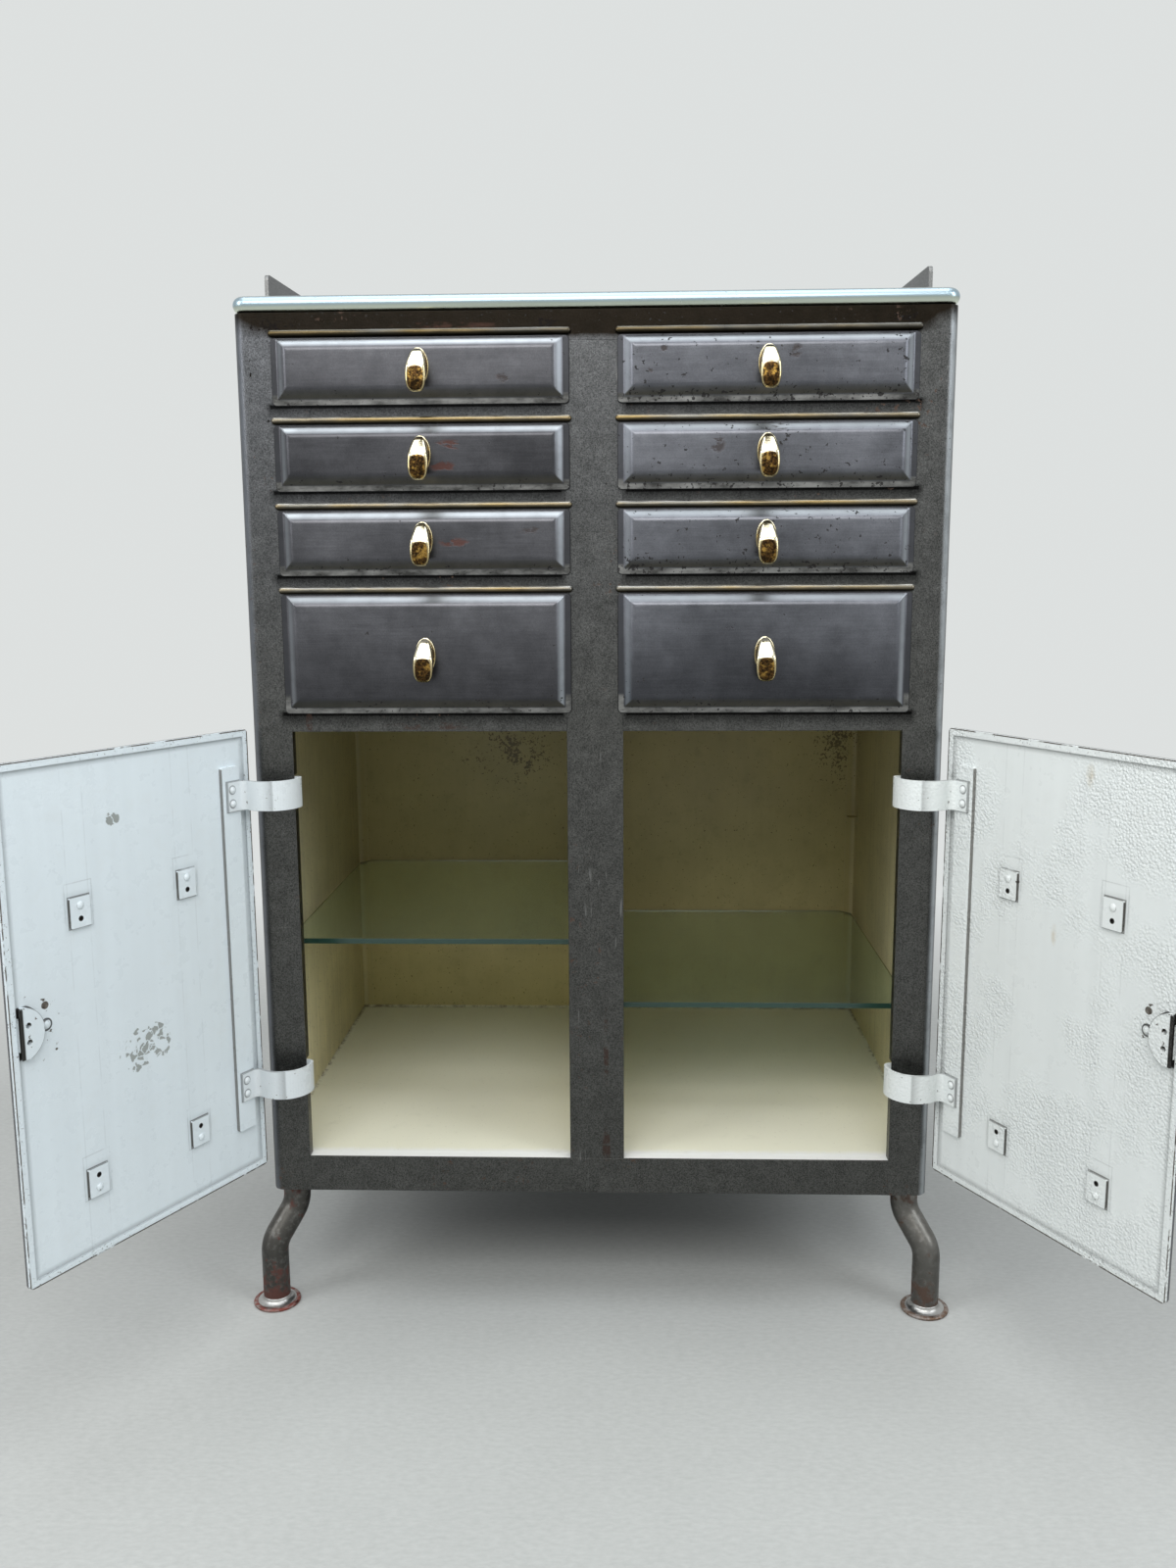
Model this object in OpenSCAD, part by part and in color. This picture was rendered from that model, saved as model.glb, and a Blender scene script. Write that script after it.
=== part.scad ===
// Steel instrument cabinet: eight drawers over a two-door cupboard with glass shelves,
// on four bent tube legs. Rest position: drawers shut, both doors swung fully open.
// Millimetres. X to the right, Y into the depth, Z up. The origin is on the floor,
// under the middle of the whole with its doors open.

/* [Body] */
// Width of the body over both side panels
body_w = 700; // [620:10:800]
// Depth of the body from the front frame to the back panel
body_d = 490; // [450:10:560]
// Thickness of the body's sheet steel
sheet = 1.2; // [1:0.1:1.6]
// Outer radius of the two vertical front corners
corner_r = 12; // [8:1:16]
// Width of each stile of the front frame
stile_w = 42; // [38:1:50]
// Width of the centre mullion
mullion_w = 57; // [50:1:70]
// Depth of the folded returns of the front frame
return_d = 12; // [11:0.5:14]
// Width of the folded flanges that hold the back panel
back_flange_w = 14; // [10:1:20]

/* [Front rows, from the floor up] */
// Height of the rail under the cupboard
bottom_rail_h = 39; // [30:1:50]
// Height of the cupboard opening
cupboard_h = 458; // [420:1:500]
// Height of the rail between the cupboard and the deep drawers
cupboard_rail_h = 23.5; // [20:0.5:30]
// Height of the frame hole of a deep drawer
deep_hole_h = 109.5; // [95:0.5:130]
// Height of the frame hole of a shallow drawer
shallow_hole_h = 54; // [48:1:66]
// Height of each rail between two drawers
drawer_rail_h = 28; // [26:0.5:34]
// Height of the rail under the top plate
top_rail_h = 29; // [26:1:36]

/* [Top plate and gallery] */
// Thickness of the top plate, whose edge is a full half round
top_t = 16.5; // [12:0.5:20]
// How far the top plate stands over the body on every side
top_over = 1.5; // [0.5:0.5:4]
// Thickness of the gallery's doubled sheet
gallery_t = 4; // [3:0.5:6]
// Height of the gallery's wings at their front end
gallery_front_h = 46; // [30:1:60]
// Height of the gallery at the back
gallery_back_h = 64; // [50:1:90]
// Distance from the body's front to the gallery's wings
gallery_set = 122; // [90:1:160]

/* [Legs] */
// Clear height under the body
leg_h = 138; // [130:1:160]
// Outer diameter of the leg tube
leg_dia = 29; // [25:0.5:32]
// Wall of the leg tube
leg_wall = 2; // [1.5:0.5:3]
// How far each foot stands out from its leg's top, along X and along Y
leg_splay = 21.5; // [16:0.5:24]
// Centre radius of the leg's two bends
leg_bend_r = 30; // [26:1:34]
// Distance from the body's side to the top of a leg's tube
leg_set_x = 2; // [1:0.5:8]
// Distance from the body's front or back to the top of a leg's tube
leg_set_y = 21; // [16:1:40]
// Height of the lower end of the leg's bend above the floor
knee_h = 60; // [50:1:64]
// Diameter of the round foot
foot_dia = 51; // [44:1:60]
// Thickness of the foot
foot_t = 3.5; // [3:0.5:6]

/* [Drawers] */
// How far a drawer front laps over its hole above and below
front_lap = 5; // [4:0.5:7]
// How far a drawer front or a door laps over its opening at each side
side_lap = 5.25; // [4:0.25:6]
// Width of the flat border of a stamped front
border_w = 6; // [5:0.5:8]
// Width of the bevel between the border and the raised field
bevel_w = 9; // [7:0.5:11]
// How far the raised field stands out from the border's back
field_out = 9.5; // [7:0.5:12]
// Thickness of the border with its folded edge
border_t = 1.8; // [1.5:0.1:2.5]
// Gap between a shut front and the frame
shut_gap = 0.3; // [0.2:0.1:0.6]
// Sheet thickness of the drawer trays
tray_t = 1; // [0.8:0.1:1.4]
// Length of a tray, front to back
tray_l = 440; // [380:5:445]
// Gap between a tray and its hole at each side
tray_gap = 2; // [1.5:0.25:3]
// Height of the bead strip over each drawer
bead_h = 7; // [6:0.5:8]
// How far a bead strip stands out of the frame
bead_out = 5; // [4:0.5:7]

/* [Pulls] */
// Width of the oval backplate
pull_w = 20.5; // [18:0.5:24]
// Height of the oval backplate
pull_h = 44; // [40:1:50]
// How far the pull stands out
pull_out = 22; // [18:1:26]

/* [Doors] */
// How far a door laps over its opening above and below
door_lap = 4; // [3:0.5:6]
// Thickness of a door from its rim to its outer field
door_t = 14; // [12:0.5:18]
// Thickness of a door at its border
door_border_t = 5; // [4:0.5:6]
// Gap between a shut door's rim and the frame
door_gap = 0.8; // [0.5:0.1:1.2]
// Width of the hem round a door's inner side
hem_w = 7; // [5:0.5:7.5]
// Height of the hem over the liner
hem_t = 1.4; // [1:0.1:2]
// Angle from shut to fully open, in degrees
door_open = 118.5; // [112:0.5:120]

/* [Hinges] */
// Distance of the hinge pin from the edge of the opening, towards the side panel
pin_in = 27; // [26:0.5:28]
// Distance of the hinge pin from the front face of the frame
pin_back = 6.7; // [6.6:0.1:7.2]
// Diameter of the hinge pin
pin_dia = 5; // [4.6:0.1:5]
// Radial clearance of the strap's eye on its pin
pin_clear = 0.05; // [0.03:0.01:0.08]
// Thickness of the strap
strap_t = 2.5; // [2:0.1:2.6]
// Width of the strap
strap_w = 30; // [24:1:34]
// Centre radius of the strap's main bow
bow_r = 28.3; // [27.5:0.1:29]
// Height of the lower strap's middle above the cupboard floor
strap_low = 92.5; // [60:0.5:140]
// Distance of the upper strap's middle below the top of the cupboard opening
strap_top = 61; // [58:1:138]

/* [Shelves] */
// Thickness of the glass
glass_t = 6; // [4:0.5:8]
// Depth of a glass shelf
glass_d = 400; // [330:5:400]
// Height of the left shelf's top above the cupboard floor
shelf_left_z = 217; // [150:1:290]
// Height of the right shelf's top above the cupboard floor
shelf_right_z = 145; // [120:1:200]
// Height of the spare tabs of the right side above the cupboard floor
spare_tab_z = 283; // [270:1:330]
// Gap between a shelf and the walls
glass_gap = 5; // [3:0.5:8]

/* [Hidden] */

$fn = 48;
eps = 0.02;

// ---- the body's places ----
door_w = body_w / 2 - stile_w - mullion_w / 2 + 2 * side_lap;
door_reach = (door_w + pin_in - side_lap) * sin(door_open)
    + (pin_back + door_gap) * cos(door_open) - pin_back;
front_y = -(body_d + top_over - door_reach) / 2;
mid_y = front_y + body_d / 2;
back_y = front_y + body_d;
wall_x = body_w / 2;
inner_x = wall_x - sheet;
floor_z = leg_h + bottom_rail_h;
cupboard_top = floor_z + cupboard_h;
deep_bottom = cupboard_top + cupboard_rail_h;
row_pitch = shallow_hole_h + drawer_rail_h;
row3_bottom = deep_bottom + deep_hole_h + drawer_rail_h;
seam_z = row3_bottom + 2 * row_pitch + shallow_hole_h + top_rail_h;
body_h = seam_z - leg_h;
top_z = seam_z + top_t;
open_in = mullion_w / 2;
open_out = wall_x - stile_w;
open_w = open_out - open_in;
column_x = (open_in + open_out) / 2;

// ---- rows 1 to 4 count from the top; row 4 is the deep drawer ----
function hole_z(row) = row == 4 ? deep_bottom : row3_bottom + (3 - row) * row_pitch;
function hole_h(row) = row == 4 ? deep_hole_h : shallow_hole_h;
front_w = open_w + 2 * side_lap;
bead_gap = 0.5;
bead_end = 2;
back_lap = 3;

// ---- trays and runners ----
runner_t = 1.2;
runner_lift = 1;
runner_w = 14;
runner_h = 15;
ride_gap = 0.3;
tray_rise = runner_lift + runner_t + ride_gap;
tray_top_gap = 4;
tray_w = open_w - 2 * tray_gap;
tray_hem = 3;

// ---- doors, as if shut; the left door is drawn and the right one mirrored ----
door_h = cupboard_h + 2 * door_lap;
door_x = -open_out - side_lap;
door_y = front_y - door_gap;
door_z = floor_z - door_lap;
liner_t = 1;
liner_top = -hem_t;
pin_x = -open_out - pin_in;
pin_y = front_y + pin_back;
strap_high = cupboard_h - strap_top;

// ---- stiffener bar, rack pads and catch, in the door's own frame ----
bar_s = 16;
bar_w = 23;
bar_t = 4;
bar_low = 50;
bar_high = 35;
pad_w = 22;
pad_h = 28;
pad_t = 2.2;
pad_hole_r = 2.2;
pad_near = 89;
pad_far = 212;
pad_low = 70.5;
pad_high = 141;
screw_off = 6;
screw_r = 3.6;
screw_t = 2;
catch_edge = 7.8;
catch_w = 23;
catch_h = 45;
catch_t = 5.4;
catch_mid = 232.5;
catch_slot_t = 2.2;
catch_slot_d = 4;
catch_hole_r = 2.6;
leaf_out = 1.2;
stud_s = 36;
stud_r = 4.6;

// ---- the strap hinge in plan, from the pin's centre, with the door open ----
eye_r = pin_dia / 2 + pin_clear + strap_t;
leg_line = -(eye_r - strap_t / 2);
turn_r = 7;
door_dir = [cos(door_open), -sin(door_open)];
door_nrm = [sin(door_open), cos(door_open)];
pin_h = pin_back + door_gap;
pin_s = door_x - pin_x;
flat_h = liner_top + bar_t + strap_t / 2;
strap_end = 34;
bow_c = [pin_in + turn_r - bow_r, leg_line - turn_r];
bow_h = bow_c * door_nrm + pin_h;
bow_s = bow_c * door_dir - pin_s;
back_bend_r = 7;
back_h = flat_h + back_bend_r;
back_s = bow_s + sqrt(pow(bow_r + back_bend_r, 2) - pow(back_h - bow_h, 2));
function from_door(s, h) = door_dir * (s + pin_s) + door_nrm * (h - pin_h);
back_c = from_door(back_s, back_h);
bow_to_back = back_c - bow_c;
bow_end = atan2(bow_to_back[1], bow_to_back[0]);
back_end = atan2(-door_nrm[1], -door_nrm[0]);
rivet_r = 3.9;
rivet_dome = 2.4;
rivet_shank_r = 2;
rivet_s = 28.5;
rivet_gap = 14;
rivet_fit = 0.05;
lug_t = 3;
lug_gap = 0.3;
lug_x = 7;
lug_y = 7.5;
slot_room = 1.5;
pin_head_r = 4;
pin_head_t = 1.6;

// ---- legs ----
leg_bend = 40;
leg_top_x = wall_x - leg_dia / 2 - leg_set_x;
leg_top_y = body_d / 2 - leg_dia / 2 - leg_set_y;
splay_run = leg_splay * sqrt(2);
bend_run = 2 * leg_bend_r * (1 - cos(leg_bend));
slope_l = (splay_run - bend_run) / sin(leg_bend);
bend_rise = 2 * leg_bend_r * sin(leg_bend) + slope_l * cos(leg_bend);

// ---- glass shelves and their tabs ----
glass_back = back_y - sheet - glass_gap;
glass_clip = 14;
tab_t = 1.5;
tab_w = 14;
tab_h = 12;
tab_set = 16;
partition_t = sheet;
glass_w = inner_x - partition_t / 2 - 2 * glass_gap;

// ---- colours ----
steel = "dimgray";
raw = "gray";
enamel = "ivory";
cream = "cornsilk";
brass = "goldenrod";
glass = "mediumaquamarine";

// =================== shared shapes ===================

// flat rounded rectangle, w wide along X and h high along Z, from y = 0 to y = -t
module slab(w, h, t, r) {
    rotate([90, 0, 0]) linear_extrude(t) {
        translate([r, 0]) square([w - 2 * r, h]);
        translate([0, r]) square([w, h - 2 * r]);
        for (x = [r, w - r], z = [r, h - r]) translate([x, z]) circle(r, $fn = 32);
    }
}

// frustum of a stamped field: base w by h at y = -y0, drawn in by inset at y = -y1
module field(w, h, y0, y1, inset, r) {
    hull() {
        translate([0, -y0, 0]) slab(w, h, eps, r);
        translate([inset, -y1 + eps, inset]) slab(w - 2 * inset, h - 2 * inset, eps, r);
    }
}

// shell of a stamped front: border t thick, field standing out to out, hollow behind,
// with a flange that the tray is welded to
module stamped(w, h, t, out, r) {
    inset = border_w + sheet + back_lap;
    difference() {
        union() {
            slab(w, h, t, r);
            translate([border_w, 0, border_w])
                field(w - 2 * border_w, h - 2 * border_w, t - eps, out, bevel_w, r);
        }
        translate([inset, 0, inset])
            field(w - 2 * inset, h - 2 * inset, -eps, out - sheet, bevel_w - back_lap, r);
    }
}

// U channel w long and h high, open to the back
module channel_x(w, h) {
    difference() {
        cube([w, return_d, h]);
        translate([-1, sheet, sheet]) cube([w + 2, return_d, h - 2 * sheet]);
    }
}

// both columns of a thing drawn for the right one
module both_sides() {
    children();
    mirror([1, 0, 0]) children();
}

// =================== body ===================

// side panel: wall, round front corner, stile with return, flange for the back
module side_panel() {
    color(steel) difference() {
        translate([0, 0, leg_h]) linear_extrude(body_h) {
            translate([-wall_x, front_y + corner_r]) square([sheet, body_d - corner_r]);
            difference() {
                intersection() {
                    translate([-wall_x + corner_r, front_y + corner_r]) circle(corner_r);
                    translate([-wall_x, front_y]) square(corner_r);
                }
                translate([-wall_x + corner_r, front_y + corner_r]) circle(corner_r - sheet);
            }
            translate([-wall_x + corner_r, front_y]) square([stile_w - corner_r, sheet]);
            translate([-open_out - sheet, front_y]) square([sheet, return_d]);
            translate([-wall_x, back_y - 2 * sheet]) square([back_flange_w, sheet]);
        }
        for (z = [strap_low, strap_high])
            translate([-open_out - sheet - 1, front_y + sheet, floor_z + z - strap_w / 2 - slot_room])
                cube([sheet + 2, return_d, strap_w + 2 * slot_room]);
    }
}

module side_left() { side_panel(); }
module side_right() { mirror([1, 0, 0]) side_panel(); }

module back_panel() {
    color(steel) translate([-inner_x, back_y - sheet, leg_h])
        cube([2 * inner_x, sheet, body_h]);
}

// floor of the cupboard, butted to the bottom rail, its back edge turned down
module cupboard_floor() {
    color(cream) translate([-inner_x, front_y + return_d, floor_z - sheet])
        cube([2 * inner_x, body_d - return_d - 2 * sheet, sheet]);
}

module underside_plate() {
    color(steel) translate([-inner_x, front_y + return_d, leg_h])
        cube([2 * inner_x, body_d - return_d - 2 * sheet, sheet]);
}

// deck over the cupboard, with a tongue onto the rail's flange in each column
module drawer_deck() {
    tongue_gap = 0.3;
    color(cream) {
        translate([-inner_x, front_y + return_d, cupboard_top + sheet])
            cube([2 * inner_x, body_d - return_d - 2 * sheet, sheet]);
        both_sides()
            translate([open_in + tongue_gap, front_y + sheet, cupboard_top + sheet])
                cube([open_w - 2 * tongue_gap, return_d - sheet + 1, sheet]);
    }
}

// wall between the two halves of the cupboard
module centre_partition() {
    color(cream) translate([-partition_t / 2, front_y + sheet, floor_z])
        cube([partition_t, body_d - 2 * sheet, cupboard_h + sheet]);
}

// centre upright of the front frame, a channel open to the back
module mullion() {
    mullion_z = floor_z;
    mullion_h = seam_z - top_rail_h - floor_z;
    color(steel) translate([-mullion_w / 2, front_y, mullion_z]) difference() {
        cube([mullion_w, return_d, mullion_h]);
        translate([sheet, sheet, -1]) cube([mullion_w - 2 * sheet, return_d, mullion_h + 2]);
    }
}

// all the rails of the front frame
module front_rails() {
    color(steel) translate([0, front_y, 0]) {
        translate([-open_out, 0, leg_h]) channel_x(2 * open_out, bottom_rail_h);
        translate([-open_out, 0, seam_z - top_rail_h]) channel_x(2 * open_out, top_rail_h);
        both_sides() {
            translate([open_in, 0, cupboard_top]) channel_x(open_w, cupboard_rail_h);
            for (row = [2 : 4])
                translate([open_in, 0, hole_z(row) + hole_h(row)])
                    channel_x(open_w, drawer_rail_h);
        }
    }
}

// half-round bead over each drawer front, with round ends
module bead_strips() {
    bead_l = front_w + 2 * bead_end;
    color(raw) both_sides() for (row = [1 : 4])
        translate([column_x, front_y, hole_z(row) + hole_h(row) + front_lap + bead_gap + bead_h / 2])
            bead(bead_l - bead_h, bead_out - bead_h / 2);
}

// round bar l long on a web that stands out by web, cut flat at the back
module bead(l, web) {
    difference() {
        union() {
            translate([0, -web, 0]) rotate([0, 90, 0]) cylinder(d = bead_h, h = l, center = true);
            translate([-l / 2, -web, -bead_h / 2]) cube([l, web, bead_h]);
            for (x = [-l / 2, l / 2]) translate([x, 0, 0]) {
                translate([0, -web, 0]) sphere(d = bead_h);
                rotate([90, 0, 0]) cylinder(d = bead_h, h = web);
            }
        }
        translate([-l, 0, -bead_h]) cube([2 * l, bead_h, 2 * bead_h]);
    }
}

// angle strips that carry the trays, from the frame's returns to the back panel,
// each with one leg under the tray and one hanging beside it
module drawer_runners() {
    run = body_d - return_d - sheet;
    drop = runner_h - runner_t;
    color(raw) both_sides() for (row = [1 : 4])
        translate([0, front_y + return_d, hole_z(row) + runner_lift]) {
            translate([open_in - runner_t, 0, -drop]) cube([runner_t, run, runner_h]);
            translate([open_in - runner_t, 0, 0]) cube([runner_w, run, runner_t]);
            translate([open_out, 0, -drop]) cube([runner_t, run, runner_h]);
            translate([open_out + runner_t - runner_w, 0, 0]) cube([runner_w, run, runner_t]);
        }
}

// =================== top ===================

// slab with a full half-round edge all round
module bullnose(w, d, t, r) {
    for (x = [-1, 1], y = [-1, 1])
        translate([x * (w / 2 - r), y * (d / 2 - r), 0])
            rotate_extrude() {
                translate([r - t / 2, 0]) intersection() {
                    circle(d = t);
                    translate([0, -t]) square([t, 2 * t]);
                }
                translate([0, -t / 2]) square([r - t / 2 + eps, t]);
            }
    for (y = [-1, 1]) translate([-w / 2 + r, y * (d / 2 - t / 2), 0])
        rotate([0, 90, 0]) cylinder(d = t, h = w - 2 * r);
    for (x = [-1, 1]) translate([x * (w / 2 - t / 2), d / 2 - r, 0])
        rotate([90, 0, 0]) cylinder(d = t, h = d - 2 * r);
    cube([w - 2 * r, d - t, t], center = true);
    cube([w - t, d - 2 * r, t], center = true);
}

// folded tray of sheet, open below, its lip resting on the body
module top_plate() {
    top_w = body_w + 2 * top_over;
    top_d = body_d + 2 * top_over;
    lip_w = 26;
    wall = 1.5;
    color("silver") translate([0, mid_y, seam_z + top_t / 2]) difference() {
        bullnose(top_w, top_d, top_t, corner_r + top_over);
        bullnose(top_w - 2 * wall, top_d - 2 * wall, top_t - 2 * wall, corner_r + top_over - wall);
        translate([-top_w / 2 + lip_w, -top_d / 2 + lip_w, -top_t])
            cube([top_w - 2 * lip_w, top_d - 2 * lip_w, top_t]);
    }
}

// upstand round the back and sides of the top, its wings rising to the back
module gallery() {
    wing_l = body_d - gallery_set;
    nose_r = 6;
    color(steel) {
        both_sides() translate([-wall_x + 0.5, 0, top_z]) difference() {
            rotate([90, 0, 90]) linear_extrude(gallery_t) difference() {
                polygon([[front_y + gallery_set, 0], [back_y, 0], [back_y, gallery_back_h],
                    [front_y + gallery_set, gallery_front_h]]);
                translate([front_y + gallery_set, gallery_front_h]) nose_cut(nose_r);
            }
        }
        translate([-wall_x + 0.5, back_y - gallery_t, top_z])
            cube([body_w - 1, gallery_t, gallery_back_h]);
    }
}

// what a rounded corner of radius r takes off a square corner at the origin
module nose_cut(r) {
    translate([-1, -r]) difference() {
        square([r + 1, r + 4]);
        translate([r + 1, 0]) circle(r);
    }
}

// =================== legs ===================

// stations of the tube's centre line from the floor end up, each [run, height, slope]
function leg_path() = concat(
    [[splay_run, foot_t, 0]],
    [for (i = [0 : 6]) let (a = leg_bend * i / 6)
        [splay_run - leg_bend_r * (1 - cos(a)), knee_h + leg_bend_r * sin(a), a]],
    [for (i = [6 : -1 : 0]) let (a = leg_bend * i / 6)
        [leg_bend_r * (1 - cos(a)), knee_h + bend_rise - leg_bend_r * sin(a), a]],
    [[0, leg_h, 0]]);

// points of a tube wall of radius r, ring by ring along the path
function tube_points(path, r, n) = [for (p = path, i = [0 : n - 1]) let (a = 360 * i / n)
    [p[0] + r * cos(a) * cos(p[2]), r * sin(a), p[1] + r * cos(a) * sin(p[2])]];

// bent tube as one closed wall: outside, inside and the two ring ends
module bent_tube(path, r_out, r_in) {
    n = 24;
    rings = len(path);
    far = (rings - 1) * n;
    skin = rings * n;
    polyhedron(convexity = 6,
        points = concat(tube_points(path, r_out, n), tube_points(path, r_in, n)),
        faces = concat(
            [for (k = [0 : rings - 2], i = [0 : n - 1]) let (j = (i + 1) % n)
                [k * n + i, k * n + n + i, k * n + n + j, k * n + j]],
            [for (k = [0 : rings - 2], i = [0 : n - 1]) let (j = (i + 1) % n)
                [skin + k * n + i, skin + k * n + j, skin + k * n + n + j, skin + k * n + n + i]],
            [for (i = [0 : n - 1]) let (j = (i + 1) % n) [i, j, skin + j, skin + i]],
            [for (i = [0 : n - 1]) let (j = (i + 1) % n)
                [far + i, skin + far + i, skin + far + j, far + j]]));
}

// round foot with a weld collar round the tube
module leg_foot() {
    collar_h = 4;
    rim_r = foot_t / 2;
    tube_r = leg_dia / 2 + 0.05;
    rotate_extrude() {
        square([foot_dia / 2 - rim_r, foot_t]);
        translate([foot_dia / 2 - rim_r, rim_r]) circle(rim_r);
        polygon([[tube_r, foot_t - 1], [tube_r + collar_h, foot_t - 1], [tube_r + collar_h, foot_t],
            [tube_r, foot_t + collar_h]]);
    }
}

// front left leg: tube with an S bend, splayed to the corner, on a round foot
module leg() {
    color(steel) translate([-leg_top_x, -leg_top_y, 0]) rotate(225) {
        bent_tube(leg_path(), leg_dia / 2, leg_dia / 2 - leg_wall);
        translate([splay_run, 0, 0]) leg_foot();
    }
}

module leg_front_left() { translate([0, mid_y, 0]) leg(); }
module leg_front_right() { mirror([1, 0, 0]) leg_front_left(); }
module leg_rear_left() { translate([0, mid_y, 0]) mirror([0, 1, 0]) leg(); }
module leg_rear_right() { mirror([1, 0, 0]) leg_rear_left(); }

// =================== glass shelves ===================

// four corner angles whose leaf tops are at height z, for the right half
module tab_set_at(z) {
    for (x = [partition_t / 2, inner_x], y = [glass_back - glass_d + tab_set, glass_back - tab_set]) {
        out = x > wall_x / 2 ? -1 : 1;
        translate([x, y - tab_w / 2, z]) {
            translate([out > 0 ? 0 : -tab_w, 0, -tab_t]) cube([tab_w, tab_w, tab_t]);
            translate([out > 0 ? 0 : -tab_t, 0, -tab_h]) cube([tab_t, tab_w, tab_h - tab_t + eps]);
        }
    }
}

module shelf_tabs() {
    color(cream) {
        mirror([1, 0, 0]) tab_set_at(floor_z + shelf_left_z - glass_t);
        tab_set_at(floor_z + shelf_right_z - glass_t);
        tab_set_at(floor_z + spare_tab_z);
    }
}

// sheet of glass with clipped back corners, its top at height z, for the right half
module glass_shelf(z) {
    x0 = partition_t / 2 + glass_gap;
    x1 = x0 + glass_w;
    y0 = glass_back - glass_d;
    color(glass, 0.5) translate([0, 0, z - glass_t]) linear_extrude(glass_t)
        polygon([[x0, y0], [x1, y0], [x1, glass_back - glass_clip], [x1 - glass_clip, glass_back],
            [x0 + glass_clip, glass_back], [x0, glass_back - glass_clip]]);
}

module shelf_left() { mirror([1, 0, 0]) glass_shelf(floor_z + shelf_left_z); }
module shelf_right() { glass_shelf(floor_z + shelf_right_z); }

// =================== hinges ===================

// ears that hold the pins, welded to the side panels above and below each strap
module hinge_lugs() {
    ear_off = strap_w / 2 + lug_gap;
    ear_x = pin_x + wall_x - sheet;
    ear_corner = corner_r - sheet;
    color(cream) both_sides() for (z = [strap_low, strap_high], side = [-1, 1])
        translate([pin_x, pin_y, floor_z + z + (side > 0 ? ear_off : -ear_off - lug_t)]) difference() {
            intersection() {
                union() {
                    cylinder(r = lug_x, h = lug_t);
                    translate([-ear_x, -(pin_back - sheet), 0]) cube([ear_x, pin_back - sheet + lug_y, lug_t]);
                }
                translate([ear_corner - ear_x, corner_r - pin_back, -1]) {
                    cylinder(r = ear_corner - 0.3, h = lug_t + 2);
                    translate([0, -corner_r, 0]) cube([4 * corner_r, 3 * corner_r, lug_t + 2]);
                    translate([-ear_corner, 0, 0]) cube([2 * ear_corner, 2 * corner_r, lug_t + 2]);
                }
            }
            translate([-lug_x, -lug_x - (pin_back - sheet), -1]) cube([2 * lug_x, lug_x, lug_t + 2]);
            translate([0, 0, -1]) cylinder(d = pin_dia + 2 * rivet_fit, h = lug_t + 2);
        }
}

module hinge_pins() {
    pin_l = strap_w + 2 * (lug_gap + lug_t);
    color(raw) both_sides() for (z = [strap_low, strap_high])
        translate([pin_x, pin_y, floor_z + z - pin_l / 2]) {
            translate([0, 0, -pin_head_t]) cylinder(d = pin_dia, h = pin_l + 2 * pin_head_t);
            translate([0, 0, pin_l]) cylinder(r = pin_head_r, h = pin_head_t);
            translate([0, 0, -pin_head_t]) cylinder(r = pin_head_r, h = pin_head_t);
        }
}

// puts what is drawn in a shut left door's frame onto the open left door
module on_door() {
    translate([pin_x, pin_y, 0]) rotate(-door_open)
        translate([door_x - pin_x, door_y - pin_y, door_z]) children();
}

// points of an arc about c from angle a0 to a1
function arc_points(c, r, a0, a1, n) =
    [for (i = [0 : n]) c + r * [cos(a0 + (a1 - a0) * i / n), sin(a0 + (a1 - a0) * i / n)]];

// one face of the strap in plan, off to the left of its centre line by off
function strap_side(off) = concat(
    [[0, leg_line + off]],
    arc_points([pin_in, leg_line - turn_r], turn_r + off, 90, 0, 10),
    arc_points(bow_c, bow_r + off, bow_end / 24, bow_end, 23),
    arc_points(back_c, back_bend_r - off, bow_end + 180 + 6, back_end, 9),
    [from_door(strap_end, flat_h + off)]);

// bowed strap: eye, leg behind the stile, bow round the stile, back bend, flat end
module strap() {
    outer = strap_side(strap_t / 2);
    inner = strap_side(-strap_t / 2);
    count = len(inner) - 1;
    difference() {
        union() {
            cylinder(r = eye_r, h = strap_w);
            linear_extrude(strap_w) polygon(concat(outer, [for (i = [0 : count]) inner[count - i]]));
        }
        translate([0, 0, -1]) cylinder(d = pin_dia + 2 * pin_clear, h = strap_w + 2);
        for (z = [-1, 1]) translate(from_door(rivet_s, flat_h))
            translate([0, 0, strap_w / 2 + z * rivet_gap / 2]) rotate([0, 0, -door_open])
                rotate([90, 0, 0]) cylinder(r = rivet_shank_r + rivet_fit, h = 4 * strap_t, center = true);
    }
}

// domed head with its shank, pointing to +Y out of the door's inner side
module rivet() {
    dome_r = (rivet_r * rivet_r + rivet_dome * rivet_dome) / (2 * rivet_dome);
    rotate([-90, 0, 0]) {
        translate([0, 0, -strap_t - bar_t]) cylinder(r = rivet_shank_r, h = strap_t + bar_t + eps);
        intersection() {
            translate([0, 0, rivet_dome - dome_r]) sphere(dome_r);
            cylinder(r = rivet_r + 1, h = rivet_dome + 1);
        }
    }
}

module door_straps() {
    color(enamel) {
        for (z = [strap_low, strap_high]) {
            translate([pin_x, pin_y, floor_z + z - strap_w / 2]) strap();
            on_door() for (dz = [-1, 1])
                translate([rivet_s, flat_h + strap_t / 2, z + door_lap + dz * rivet_gap / 2]) rivet();
        }
    }
}

// =================== doors ===================

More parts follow.
